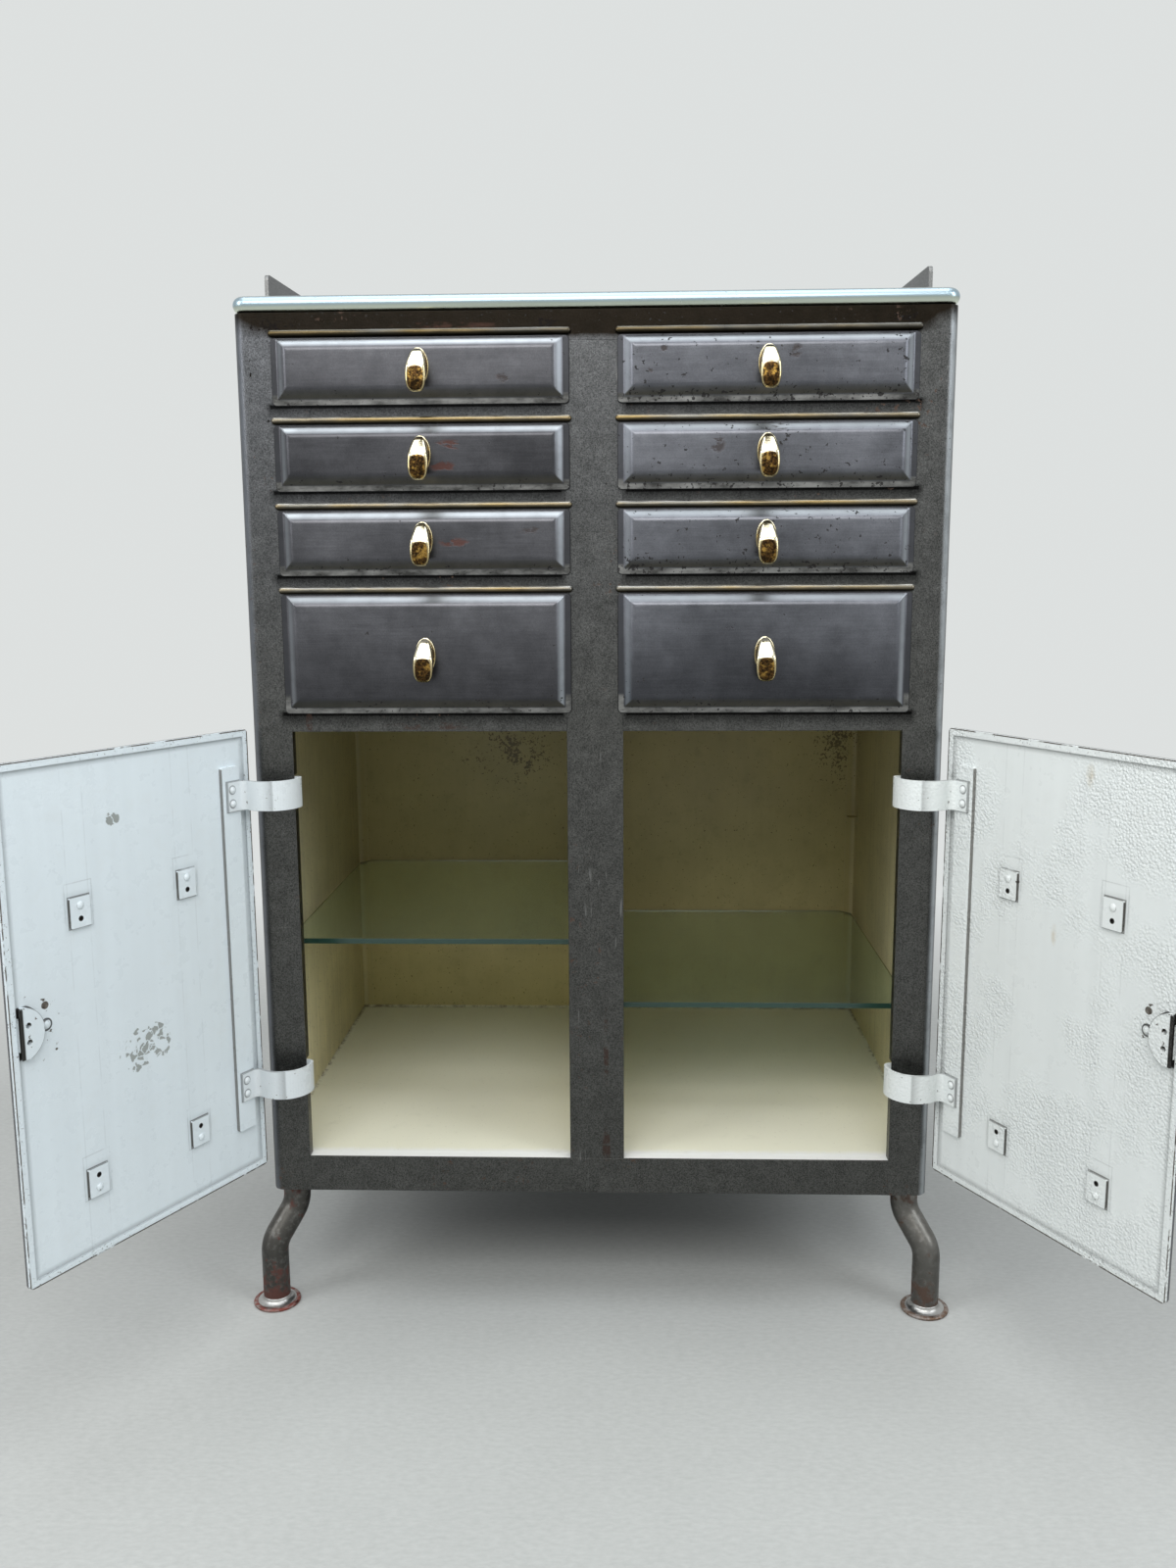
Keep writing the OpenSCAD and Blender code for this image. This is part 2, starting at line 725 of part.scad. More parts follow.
// outer skin: stamped shell whose edge is hemmed round the liner
module door_skin() {
    color(enamel) on_door() difference() {
        union() {
            slab(door_w, door_h, door_border_t, 4);
            translate([border_w, 0, border_w])
                field(door_w - 2 * border_w, door_h - 2 * border_w, door_border_t - eps, door_t, bevel_w, 4);
        }
        translate([border_w + sheet, 0, border_w + sheet])
            field(door_w - 2 * (border_w + sheet), door_h - 2 * (border_w + sheet),
                hem_t, door_t - sheet, bevel_w, 3);
        translate([sheet, -hem_t, sheet])
            slab(door_w - 2 * sheet, door_h - 2 * sheet, door_border_t - hem_t - sheet, 3);
        translate([hem_w, 1, hem_w]) slab(door_w - 2 * hem_w, door_h - 2 * hem_w, hem_t + 2, 2);
        pull_bore(door_t + 1);
    }
}

// hole for the pull's stud, cut through d of the door
module pull_bore(d) {
    translate([door_w - stud_s, 1, catch_mid + 1]) rotate([90, 0, 0])
        cylinder(r = pull_stud_r + rivet_fit, h = d + 2);
}

module door_liner() {
    color(enamel) on_door() difference() {
        translate([sheet, liner_top, sheet])
            slab(door_w - 2 * sheet, door_h - 2 * sheet, liner_t, 3);
        pull_bore(door_t);
    }
}

// flat bar that backs the straps' rivets
module door_bar() {
    color(enamel) on_door() difference() {
        translate([bar_s, liner_top + bar_t, bar_low])
            slab(bar_w, door_h - bar_low - bar_high, bar_t, 2);
        for (z = [strap_low, strap_high], dz = [-1, 1])
            translate([rivet_s, liner_top + bar_t + 1, z + door_lap + dz * rivet_gap / 2])
                rotate([90, 0, 0]) cylinder(r = rivet_shank_r + rivet_fit, h = bar_t + 2);
    }
}

// four small plates for a rack, each with a screw and a spare hole
module door_pads() {
    color(enamel) on_door() for (s = [pad_near, pad_far], end = [0, 1]) {
        z = end > 0 ? door_h - pad_high : pad_low;
        screw_z = end > 0 ? screw_off : -screw_off;
        translate([s, liner_top + pad_t, z]) {
            difference() {
                translate([-pad_w / 2, 0, -pad_h / 2]) slab(pad_w, pad_h, pad_t, 2);
                translate([0, 1, -screw_z]) rotate([90, 0, 0]) cylinder(r = pad_hole_r, h = pad_t + 2);
            }
            translate([0, 0, screw_z]) rotate([-90, 0, 0]) intersection() {
                translate([0, 0, -screw_r]) sphere(screw_r * 1.5);
                cylinder(r = screw_r, h = screw_t);
            }
        }
    }
}

// D-shaped friction catch with a leaf in its slot, and the pull's stud head beside it
module door_catch() {
    plate_t = (catch_t - catch_slot_t) / 2;
    mid = catch_mid;
    color(enamel) on_door() translate([door_w - catch_edge, liner_top + catch_t, mid]) {
        difference() {
            rotate([90, 0, 0]) linear_extrude(catch_t) intersection() {
                translate([1, 0]) circle(catch_h / 2 + 2);
                translate([-catch_w, -catch_h / 2]) square([catch_w, catch_h]);
            }
            translate([-catch_slot_d, -plate_t - catch_slot_t, -catch_h])
                cube([catch_slot_d + 1, catch_slot_t, 2 * catch_h]);
            for (z = [-8, 7]) translate([-catch_w / 3, 1, z]) rotate([90, 0, 0])
                cylinder(r = catch_hole_r, h = catch_t + 2);
        }
        translate([-catch_slot_d, -plate_t - catch_slot_t, -catch_h / 3])
            cube([catch_slot_d + leaf_out, catch_slot_t, catch_h * 2 / 3]);
    }
    color(enamel) on_door() translate([door_w - stud_s, liner_top, mid + 1]) rotate([-90, 0, 0])
        intersection() {
            cylinder(r = stud_r, h = stud_r);
            translate([0, 0, -2]) sphere(stud_r + 0.6);
        }
}

module door_left_skin() { door_skin(); }
module door_left_liner() { door_liner(); }
module door_left_bar() { door_bar(); }
module door_left_straps() { door_straps(); }
module door_left_pads() { door_pads(); }
module door_left_catch() { door_catch(); }
module door_left_pull() { door_pull(); }
module door_right_skin() { mirror([1, 0, 0]) door_skin(); }
module door_right_liner() { mirror([1, 0, 0]) door_liner(); }
module door_right_bar() { mirror([1, 0, 0]) door_bar(); }
module door_right_straps() { mirror([1, 0, 0]) door_straps(); }
module door_right_pads() { mirror([1, 0, 0]) door_pads(); }
module door_right_catch() { mirror([1, 0, 0]) door_catch(); }
module door_right_pull() { mirror([1, 0, 0]) door_pull(); }

// =================== pulls ===================

pull_plate_t = 2;
pull_stud_r = 2.5;
pull_wall = 4;
pull_knee_z = 3;

// point at share u of the quadratic curve a, b, c
function curve(a, b, c, u) = a * (1 - u) * (1 - u) + b * 2 * u * (1 - u) + c * u * u;

// cast finger pull: oval plate, tongue that leaves its top and hangs clear of it
module pull() {
    steps = 8;
    top = pull_h / 2 - 1.5;
    tip = -pull_h / 2 + 1;
    shoulder = [for (i = [0 : steps])
        curve([-pull_plate_t, top], [-pull_plate_t - 5, top], [-pull_plate_t - 7, top - 3], i / steps)];
    knee = [for (i = [0 : steps])
        curve([-pull_out + 3, pull_knee_z + 2.5], [-pull_out, pull_knee_z - 1],
            [-pull_out, pull_knee_z - 5], i / steps)];
    chin = [for (i = [0 : steps])
        curve([-pull_out, tip + 6], [-pull_out, tip + 1], [-pull_out + 5, tip], i / steps)];
    inner = [for (i = [0 : steps])
        curve([-pull_out + 7, tip + 3], [-pull_out + pull_wall, 0], [-0.5, top - 8], i / steps)];
    color(brass) {
        rotate([90, 0, 0]) linear_extrude(pull_plate_t) oval(pull_w, pull_h, 40);
        intersection() {
            rotate([90, 0, 90]) translate([0, 0, -pull_w]) linear_extrude(2 * pull_w)
                polygon(concat(shoulder, knee, chin, inner, [[-0.5, top]]));
            rotate([90, 0, 0]) linear_extrude(pull_out + 1) egg(pull_w - 1, pull_h - 1, 40);
        }
    }
}

// blunt egg w wide and h high, its broader end down
module egg(w, h, n) {
    polygon([for (i = [0 : n - 1]) let (a = 360 * i / n)
        [w / 2 * sign(sin(a)) * pow(abs(sin(a)), 0.7) * (1 - 0.1 * cos(a)), h / 2 * cos(a)]]);
}

// ellipse w wide and h high
module oval(w, h, n) {
    polygon([for (i = [0 : n - 1]) [w / 2 * sin(360 * i / n), h / 2 * cos(360 * i / n)]]);
}

module door_pull() {
    on_door() translate([door_w - stud_s, -door_t, catch_mid + 1]) {
        pull();
        color(brass) rotate([-90, 0, 0]) cylinder(r = pull_stud_r, h = door_t + liner_top);
    }
}

// =================== drawers ===================

// side is -1 for the left column and 1 for the right; row counts from the top
module drawer_front(side, row) {
    front_h = hole_h(row) + 2 * front_lap;
    color(raw) translate([side * column_x - front_w / 2, front_y - shut_gap, hole_z(row) - front_lap])
        stamped(front_w, front_h, border_t, field_out, 4);
}

// folded tray with a hem round its top
module drawer_tray(side, row) {
    tray_h = hole_h(row) - tray_rise - tray_top_gap;
    color(raw) translate([side * column_x - tray_w / 2, front_y - shut_gap, hole_z(row) + tray_rise])
        difference() {
            cube([tray_w, tray_l, tray_h]);
            translate([tray_t, tray_t, tray_t])
                cube([tray_w - 2 * tray_t, tray_l - 2 * tray_t, tray_h - tray_t - tray_hem]);
            translate([tray_hem, tray_hem, tray_h - tray_hem - 1])
                cube([tray_w - 2 * tray_hem, tray_l - 2 * tray_hem, tray_hem + 2]);
        }
}

module drawer_pull(side, row) {
    pull_z = hole_z(row) + hole_h(row) / 2 - (row == 4 ? 5 : 1.5);
    translate([side * column_x, front_y - shut_gap - field_out, pull_z]) pull();
}

// =================== nodes ===================

side_left();
side_right();
back_panel();
cupboard_floor();
underside_plate();
drawer_deck();
centre_partition();
mullion();
front_rails();
bead_strips();
drawer_runners();
top_plate();
gallery();
leg_front_left();
leg_front_right();
leg_rear_left();
leg_rear_right();
shelf_tabs();
shelf_left();
shelf_right();
hinge_lugs();
hinge_pins();
door_left_skin();
door_left_liner();
door_left_bar();
door_left_straps();
door_left_pads();
door_left_catch();
door_left_pull();
door_right_skin();
door_right_liner();
door_right_bar();
door_right_straps();
door_right_pads();
door_right_catch();
door_right_pull();
for (side = [-1, 1], row = [1 : 4]) {
    name = str("drawer_", side < 0 ? "left" : "right", "_", row);
    drawer_front(side, row);
    drawer_tray(side, row);
    drawer_pull(side, row);
}
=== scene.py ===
import math
import bpy
import numpy as np
from mathutils import Matrix, Vector


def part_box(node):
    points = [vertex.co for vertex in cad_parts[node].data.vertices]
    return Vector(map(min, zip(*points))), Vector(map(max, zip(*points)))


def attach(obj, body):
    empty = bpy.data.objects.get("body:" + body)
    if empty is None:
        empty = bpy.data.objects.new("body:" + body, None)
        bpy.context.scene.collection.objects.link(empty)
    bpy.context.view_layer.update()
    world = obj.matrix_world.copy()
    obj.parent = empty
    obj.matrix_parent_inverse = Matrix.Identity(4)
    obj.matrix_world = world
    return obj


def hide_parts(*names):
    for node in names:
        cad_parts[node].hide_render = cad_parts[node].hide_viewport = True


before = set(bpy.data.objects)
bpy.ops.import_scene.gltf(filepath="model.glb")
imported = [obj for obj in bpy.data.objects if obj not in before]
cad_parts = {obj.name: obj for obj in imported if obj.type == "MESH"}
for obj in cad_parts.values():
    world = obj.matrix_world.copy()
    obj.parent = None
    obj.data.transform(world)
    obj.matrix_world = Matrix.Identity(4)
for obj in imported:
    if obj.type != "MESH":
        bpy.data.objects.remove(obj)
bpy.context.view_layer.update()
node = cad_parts

# ============ 1. Room, camera and light ============
# A plain pale floor that fades into an even grey-white surround, a soft lamp overhead, a wide
# one high in front and two weak ones at the sides, so that bare steel shows where it is bent.


class Value:
    """A number or colour that a finish works out at every point of a surface. Each +, -, *, /, abs, > and <
    on it adds one node to the finish; > and < give 1 where they hold and 0 elsewhere."""

    def __init__(self, socket):
        self.socket, self.tree = socket, socket.id_data

    def __add__(self, other):
        return calc("ADD", self, other)

    def __sub__(self, other):
        return calc("SUBTRACT", self, other)

    def __rsub__(self, other):
        return calc("SUBTRACT", other, self)

    def __mul__(self, other):
        return calc("MULTIPLY", self, other)

    def __truediv__(self, other):
        return calc("DIVIDE", self, other)

    def __gt__(self, other):
        return calc("GREATER_THAN", self, other)

    def __lt__(self, other):
        return calc("LESS_THAN", self, other)

    def __abs__(self):
        return calc("ABSOLUTE", self)


def wire(made, key, value):
    """Sets one input of a node to a plain number or colour, or wires a value into it."""
    if isinstance(value, Value):
        made.id_data.links.new(value.socket, made.inputs[key])
    else:
        made.inputs[key].default_value = value


def part(tree, kind, sockets, **settings):
    """One shader node, with its inputs set by sockets and its options by settings."""
    made = tree.nodes.new("ShaderNode" + kind)
    for key, value in settings.items():
        setattr(made, key, value)
    for key, value in sockets.items():
        wire(made, key, value)
    return made


def out(made, key=0):
    """One output of a node."""
    return Value(made.outputs[key])


def tree_of(*inputs):
    """The node tree of the first value among several inputs, which may also be plain numbers."""
    return next(one.tree for one in inputs if isinstance(one, Value))


def calc(how, a, b=0.0):
    """a and b put together by the named sum."""
    return out(part(tree_of(a, b), "Math", {0: a, 1: b}, operation=how))


def most(first, *others):
    """The largest of several values."""
    for other in others:
        first = calc("MAXIMUM", first, other)
    return first


def step(value, low, high, start=0.0, end=1.0):
    """start below low, end above high, and a straight ramp between."""
    return out(part(value.tree, "MapRange", {"Value": value, "From Min": low, "From Max": high,
                                             "To Min": start, "To Max": end}), "Result")


def mix(share, a, b):
    """Colour a where share is 0 and b where it is 1."""
    a, b = [end if isinstance(end, Value) else (*end, 1.0) for end in (a, b)]
    return out(part(tree_of(share, a, b), "Mix", {0: share, 6: a, 7: b}, data_type="RGBA"), 2)


def dim(colour, value, low, high, start, end):
    """A colour made darker or brighter: times start where value is below low, and times end where it is
    above high."""
    share = step(value, low, high, start, end)
    return out(part(colour.tree, "VectorMath", {0: colour, "Scale": share}, operation="SCALE"))


def axes(where):
    """X, Y and Z of a vector."""
    split = part(where.tree, "SeparateXYZ", {0: where})
    return [out(split, axis) for axis in "XYZ"]


def grain(where, scale, detail, rough, seed, stretch=(1, 1, 1)):
    """Noise from 0 to 1 whose grains are about 1/scale metres, drawn out along the axes by stretch."""
    placed = part(where.tree, "Mapping", {"Vector": where, "Location": (seed, seed * 0.7, seed * 1.3),
                                          "Scale": stretch})
    return out(part(where.tree, "TexNoise", {"Vector": out(placed), "Scale": scale, "Detail": detail,
                                             "Roughness": rough}), "Fac")


def finish_of(name):
    """A new material: the material, its shader and the object's own coordinates."""
    made = bpy.data.materials.new(name)
    made.use_nodes = True
    tree = made.node_tree
    return made, tree.nodes["Principled BSDF"], out(part(tree, "TexCoord", {}), "Object")


def seen_rays(tree):
    """1 for rays that the eye follows straight, by gloss or through glass."""
    path = part(tree, "LightPath", {})
    return most(*(out(path, f"Is {kind} Ray") for kind in ("Camera", "Glossy", "Transmission")))


surround = (0.725, 0.748, 0.742)
floor_finish, bsdf, where = finish_of("pale_floor")
cloud = grain(where, 5, 4, 0.6, 1)
colour = mix(cloud, (0.437, 0.445, 0.430), (0.507, 0.517, 0.502))
colour = dim(colour, grain(where, 110, 3, 0.6, 2, (1, 2.2, 1)), 0.3, 0.7, 0.93, 1.05)
wire(bsdf, "Base Color", colour)
wire(bsdf, "Roughness", 0.9)
t = floor_finish.node_tree
far = out(part(t, "VectorMath", {0: where}, operation="LENGTH"), "Value")
glow = part(t, "Emission", {"Color": (*surround, 1), "Strength": 1.0})
fade = part(t, "MixShader", {0: seen_rays(t) * step(far, 1.0, 1.9), 1: out(bsdf), 2: out(glow)})
wire(t.nodes["Material Output"], "Surface", out(fade))
floor_mesh = bpy.data.meshes.new("floor")
turn = np.linspace(0, 2 * np.pi, 64, endpoint=False)
floor_mesh.from_pydata(np.c_[9 * np.cos(turn), 9 * np.sin(turn), 0 * turn].tolist(), [], [list(range(64))])
floor_mesh.materials.append(floor_finish)
floor = bpy.data.objects.new("floor", floor_mesh)
bpy.context.scene.collection.objects.link(floor)

world = bpy.data.worlds.new("surround")
bpy.context.scene.world = world
world.use_nodes = True
t = world.node_tree
_, behind, height = axes(out(part(t, "TexCoord", {}), "Generated"))
sky = dim(mix(step(height, 0.0, 0.8), (0.93, 0.97, 1.0), (0.96, 0.985, 1.0)), height, 0.0, 0.7, 0.28, 0.62)
sky = dim(sky, step(height, 0.32, 0.08) * step(behind, 0.1, 0.5), 0, 1, 1.0, 0.40)
wire(t.nodes["Background"], "Color", mix(seen_rays(t), sky, surround))


def soft_lamp(name, place, aim, wide, high, watts, colour):
    """A rectangular soft lamp at place, facing aim."""
    lamp = bpy.data.lights.new(name, "AREA")
    lamp.shape = "RECTANGLE"
    lamp.size, lamp.size_y, lamp.energy, lamp.color = wide, high, watts, colour
    made = bpy.data.objects.new(name, lamp)
    turn = (Vector(aim) - Vector(place)).to_track_quat("-Z", "Y")
    made.matrix_world = Matrix.Translation(place) @ turn.to_matrix().to_4x4()
    bpy.context.scene.collection.objects.link(made)


soft_lamp("lamp_over", (0.0, -0.45, 2.9), (0.0, -0.15, 0.0), 2.4, 1.7, 27, (0.93, 0.965, 1.0))
soft_lamp("lamp_front", (-0.3, -2.5, 2.5), (0.0, 0.0, 0.5), 2.2, 1.4, 41, (1.0, 0.995, 0.97))
soft_lamp("lamp_left", (-2.4, -1.6, 2.0), (0.0, -0.1, 0.6), 1.2, 1.8, 27, (0.96, 0.98, 1.0))
soft_lamp("lamp_right", (2.4, -1.6, 2.0), (0.0, -0.1, 0.6), 1.2, 1.8, 27, (0.92, 0.965, 1.0))

yaw, pitch, roll = 0.033, 0.160, 0.006
ahead = Vector((-math.cos(pitch) * math.sin(yaw), math.cos(pitch) * math.cos(yaw), -math.sin(pitch)))
up0 = Vector((-math.sin(pitch) * math.sin(yaw), math.sin(pitch) * math.cos(yaw), math.cos(pitch)))
right0 = Vector((math.cos(yaw), math.sin(yaw), 0))
right = math.cos(roll) * right0 - math.sin(roll) * up0
up = math.sin(roll) * right0 + math.cos(roll) * up0
lens = bpy.data.cameras.new("camera")
lens.lens, lens.sensor_width = 29.66, 36
lens.clip_start, lens.clip_end = 0.05, 60
camera = bpy.data.objects.new("camera", lens)
eye = Matrix.Translation((0.03535, -1.4091, 0.7902))
camera.matrix_world = eye @ Matrix((right, up, -ahead)).transposed().to_4x4()
bpy.context.scene.collection.objects.link(camera)
bpy.context.scene.camera = camera
bpy.context.scene.view_settings.view_transform = "Standard"

# ============ 2. Case ============
# The body is folded 1.2 mm sheet: two side panels with rounded front corners and stiles,
# back, underside, centre mullion and channel rails, spot welded. The outside is bare dark
# steel, finely pitted and waxed; inside the cupboard the same sheets are painted cream.
low_box, high_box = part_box("side_left")
front_y, back_y = low_box.y, high_box.y
under_z, seam_z = low_box.z, high_box.z
half_w, corner, half_sheet = -low_box.x, 0.012, 0.0006
floor_z, deck_z, frame_depth = 0.1772, 0.660, 0.0125
drawer_feet = (0.955, 0.873, 0.791, 0.6535)


def soften(piece, width, steps=2):
    """Rounds a folded piece's sharp edges by width metres, as the press brake does."""
    weld = piece.modifiers.new("closed_edges", "WELD")
    weld.merge_threshold = 0.00001
    round_off = piece.modifiers.new("rounded_edges", "BEVEL")
    round_off.width, round_off.segments = width, steps
    round_off.limit_method, round_off.angle_limit = "ANGLE", math.radians(40)
    round_off.harden_normals = True


def dress(piece, finish):
    """Puts one finish into every slot of a piece."""
    for held in piece.material_slots:
        held.material = finish


def reach(a, b):
    """The length of a line that goes a along one way and b square to it."""
    return calc("SQRT", a * a + b * b)


def spot(a, b, at_a, at_b, half_a, half_b):
    """1 at the middle of an oval spot in the plane of a and b, falling to 0 at its edge."""
    return step(reach((a - at_a) / half_a, (b - at_b) / half_b), 1.0, 0.2)


def spots(a, b, places):
    """Several such spots together, each given as (at_a, at_b, half_a, half_b)."""
    return most(0.0, *(spot(a, b, *place) for place in places))


def blend(share, a, b):
    """The number a where share is 0 and b where it is 1."""
    return out(part(share.tree, "Mix", {0: share, 2: a, 3: b}, data_type="FLOAT"))


def facing(where):
    """X, Y and Z of the direction in which the surface faces."""
    return axes(out(part(where.tree, "TexCoord", {}), "Normal"))


def coat(shader, colour, metal, rough):
    """A finish's colour, its share of bare metal and its roughness."""
    wire(shader, "Base Color", colour)
    wire(shader, "Metallic", metal)
    wire(shader, "Roughness", rough)


def bump(shader, height, depth, strength, under=None):
    """Relief depth metres deep from height, on top of an earlier relief."""
    sockets = {"Height": height, "Distance": depth, "Strength": strength}
    if under is not None:
        sockets["Normal"] = under
    made = out(part(height.tree, "Bump", sockets), "Normal")
    wire(shader, "Normal", made)
    return made


def cream_paint(where):
    """Old cream enamel as (colour, roughness, relief). The walls are darker and yellower than the pale floor,
    part yellowed enamel and part painted shade; painted shade darkens them further up under the deck, and
    painted light makes the side walls paler towards the front. A painted highlight runs along the floor's
    front lip. It has fine upright streaks, brown specks high on the back, and a dirt line where floor meets
    wall that is heaviest in the rear corners."""
    x, y, z = axes(where)
    cloud = grain(where, 4, 3, 0.5, 3)
    streak = grain(where, 120, 2, 0.5, 8, (1, 1, 0.03))
    # The walls are darker and yellower than the floor, part yellowed enamel and part painted shade.
    wall = mix(cloud, (0.515, 0.438, 0.200), (0.585, 0.500, 0.252))
    at_side = step(abs(x), half_w - 0.008, half_w - 0.004)
    # Painted light: the side walls are paler, most towards the front.
    wall = mix(at_side * step(y, back_y, front_y, 0.35, 1.0), wall, (0.74, 0.68, 0.46))
    wall = dim(wall, (streak - 0.5) * step(at_side, 0, 1, 0.22, 1.0), -0.2, 0.2, 0.92, 1.07)
    wall = dim(wall, grain(where, 11, 4, 0.6, 5), 0.35, 0.65, 0.90, 1.06)
    # Painted shade: the walls darken up under the deck.
    wall = dim(wall, z, 0.30, 0.62, 1.08, 0.80)
    wall = dim(wall, grain(where, 60, 4, 0.6, 4), 0.55, 0.8, 1.0, 0.86)
    floor = mix(cloud, (0.935, 0.915, 0.745), (0.965, 0.955, 0.815))
    # Painted highlight along the front lip of the floor.
    lip_highlight = step(y + (grain(where, 70, 3, 0.6, 15) - 0.5) * 0.010, front_y + 0.024, front_y + 0.014)
    floor = mix(lip_highlight, floor, (0.98, 0.985, 0.98))
    floor = dim(floor, grain(where, 45, 4, 0.6, 6), 0.6, 0.85, 1.0, 0.90)
    base = mix(step(z, 0.18, floor_z - 0.0004), wall, floor)
    high = spots(x, z, ((-0.125, 0.545, 0.085, 0.055), (0.325, 0.555, 0.045, 0.065)))
    high = high * (y > back_y - 0.03) * step(grain(where, 38, 3, 0.6, 19), 0.35, 0.62)
    specks = step(grain(where, 340, 2, 0.6, 1) + high * 0.24, 0.685, 0.705)
    specks = specks * step(z, 0.178, 0.182, 0.20, 1.0)
    base = mix(specks * 0.85, base, (0.12, 0.085, 0.035))
    down = step(abs(z - floor_z), 0.0035, 0.0008)
    rim = most(step(y, back_y - 0.010, back_y - 0.0025), step(abs(x), half_w - 0.006, half_w - 0.0015))
    cornered = (step(abs(x), half_w - 0.09, half_w - 0.01, 0.25, 1.0)
                * step(y, back_y - 0.12, back_y - 0.01, 0.35, 1.0))
    line = down * rim * step(grain(where, 110, 4, 0.65, 9) + cornered * 0.18, 0.50, 0.72)
    base = mix(line * 0.8, base, (0.17, 0.10, 0.04))
    rough = step(cloud, 0.3, 0.7, 0.36, 0.50)
    relief = grain(where, 160, 2, 0.5, 2) * 0.5 + specks * -1.0
    return base, rough, relief


case_steel, bsdf, where = finish_of("case_steel")
x, y, z = axes(where)
# outside is 1 on the bare outer faces and 0 on the painted inner ones, the cupboard's sill among them.
off_x = most(abs(x) - (half_w - corner), 0.0)
off_y = most(front_y + corner - y, 0.0)
outside = most(reach(off_x, off_y) > corner - half_sheet, y > back_y - half_sheet, z < under_z + half_sheet,
               z > deck_z, y < front_y + frame_depth)
sill = (facing(where)[2] > 0.5) * (z < 0.30) * (z > 0.17) * (y > front_y + 2 * half_sheet)
outside = outside * (1.0 - sill)
cloud = grain(where, 8, 4, 0.6, 1)
blotch = grain(where, 60, 4, 0.65, 2)
stipple = grain(where, 820, 2, 0.7, 3)
fine = grain(where, 1300, 2, 0.6, 5)
# Painted light: the stiles are lighter higher up and towards the left.
tall = step(z, 0.62, 1.02)
painted_light = tall * step(x, 0.30, -0.36, 0.25, 1.0)
colour = mix(cloud, (0.070, 0.070, 0.066), (0.094, 0.094, 0.090))
colour = mix(painted_light, colour, (0.108, 0.111, 0.119))
colour = dim(colour, blotch, 0.3, 0.7, 0.84, 1.14)
colour = dim(colour, stipple, 0.30, 0.70, 0.48, 1.54)
colour = dim(colour, fine, 0.30, 0.70, 0.82, 1.18)
scuff = step(grain(where, 300, 2, 0.5, 6, (1, 1, 0.10)), 0.66, 0.72)
scuff = scuff * step(grain(where, 14, 2, 0.5, 4), 0.52, 0.66) * step(abs(x), 0.032, 0.026)
colour = mix(scuff * 0.55, colour, (0.24, 0.24, 0.235))
# Shade in the gap under each row of drawers.
shade = 0.0
for foot_z in drawer_feet:
    shade = most(shade, step(z, foot_z - 0.014, foot_z - 0.002) * step(z, foot_z + 0.004, foot_z + 0.001))
at_front = step(y, front_y + 0.030, front_y + 0.014)
shade = shade * at_front * step(abs(x), 0.026, 0.032) * step(abs(x), 0.322, 0.316)
colour = dim(colour, shade, 0, 0.95, 1.0, 0.30)
colour = dim(colour, shade, 0.97, 1.0, 1.0, 0.25)
# Painted highlight on the rounded corners of the side panels, the right one most.
corner_highlight = step(abs(x), half_w - 0.0095, half_w - 0.0045) * step(y, front_y + 0.0085, front_y + 0.0030)
highlight_and_wear = mix(step(x, -0.1, 0.1), (0.155, 0.165, 0.185), (0.400, 0.425, 0.445))
colour = mix(corner_highlight * step(blotch, 0.25, 0.55, 0.55, 0.95), colour, highlight_and_wear)
# Painted shade under the overhang of the top, with dirt and damp.
inward = step(abs(x), half_w - 0.010, half_w - 0.050)
below = step(z, seam_z - 0.030, seam_z - 0.002, 0, 0.75) + inward * at_front * 0.55
uneven = (grain(where, 30, 3, 0.6, 7) - 0.5) * 0.5
shade_and_grime = step(below * step(z, seam_z - 0.034, seam_z - 0.022) + uneven, 0.30, 0.72)
colour = mix(shade_and_grime * 0.96, colour, mix(blotch, (0.0075, 0.0062, 0.0038), (0.0165, 0.0115, 0.0070)))
# Rust spots, chipped places, smears of rust and pits.
rust = step(grain(where, 170, 3, 0.6, 11), 0.63, 0.68) * step(grain(where, 15, 2, 0.5, 12), 0.56, 0.66)
colour = mix(rust * 0.8, colour, (0.065, 0.032, 0.018))
chip = spots(x, z, ((-0.312, 1.030, 0.024, 0.008), (-0.045, 1.031, 0.015, 0.008),
                    (-0.318, 0.941, 0.006, 0.004), (-0.334, 0.985, 0.004, 0.006),
                    (0.300, 1.031, 0.020, 0.006)))
smear = spots(x, z, ((-0.165, 0.6405, 0.052, 0.0045), (-0.290, 0.6450, 0.004, 0.012),
                     (-0.142, 1.0290, 0.060, 0.004), (0.010, 0.300, 0.003, 0.050),
                     (0.010, 0.185, 0.005, 0.030)))
chip = at_front * step(grain(where, 210, 3, 0.6, 16) + chip * 0.22, 0.66, 0.68) * step(chip, 0.0, 0.1)
smear = at_front * step(smear, 0.0, 0.4) * step(grain(where, 110, 4, 0.65, 17, (0.5, 1, 1)), 0.46, 0.60)
colour = mix(smear * 0.7, colour, (0.045, 0.020, 0.013))
near_top = step(z, seam_z - 0.07, seam_z - 0.02) * 0.035
pits = step(grain(where, 300, 2, 0.5, 14) + near_top, 0.725, 0.740)
colour = mix(most(pits, chip), colour, (0.012, 0.010, 0.009))
paint, paint_rough, paint_relief = cream_paint(where)
worn = most(most(rust, smear * 0.3) * 0.8, pits)
rough = step(blotch, 0.3, 0.7, 0.34, 0.44) + worn * 0.35
coat(bsdf, mix(outside, paint, colour), outside * step(worn, 0, 1, 1.0, 0.2),
     blend(outside, paint_rough, rough))
bump(bsdf, blend(outside, paint_relief, stipple * 0.8 + blotch * 0.4 - worn * 0.8), 0.0004, 0.5)
for name in ("side_left", "side_right", "back_panel", "underside_plate", "mullion", "front_rails"):
    dress(node[name], case_steel)
for name in ("mullion", "front_rails", "underside_plate"):
    soften(node[name], 0.0005)
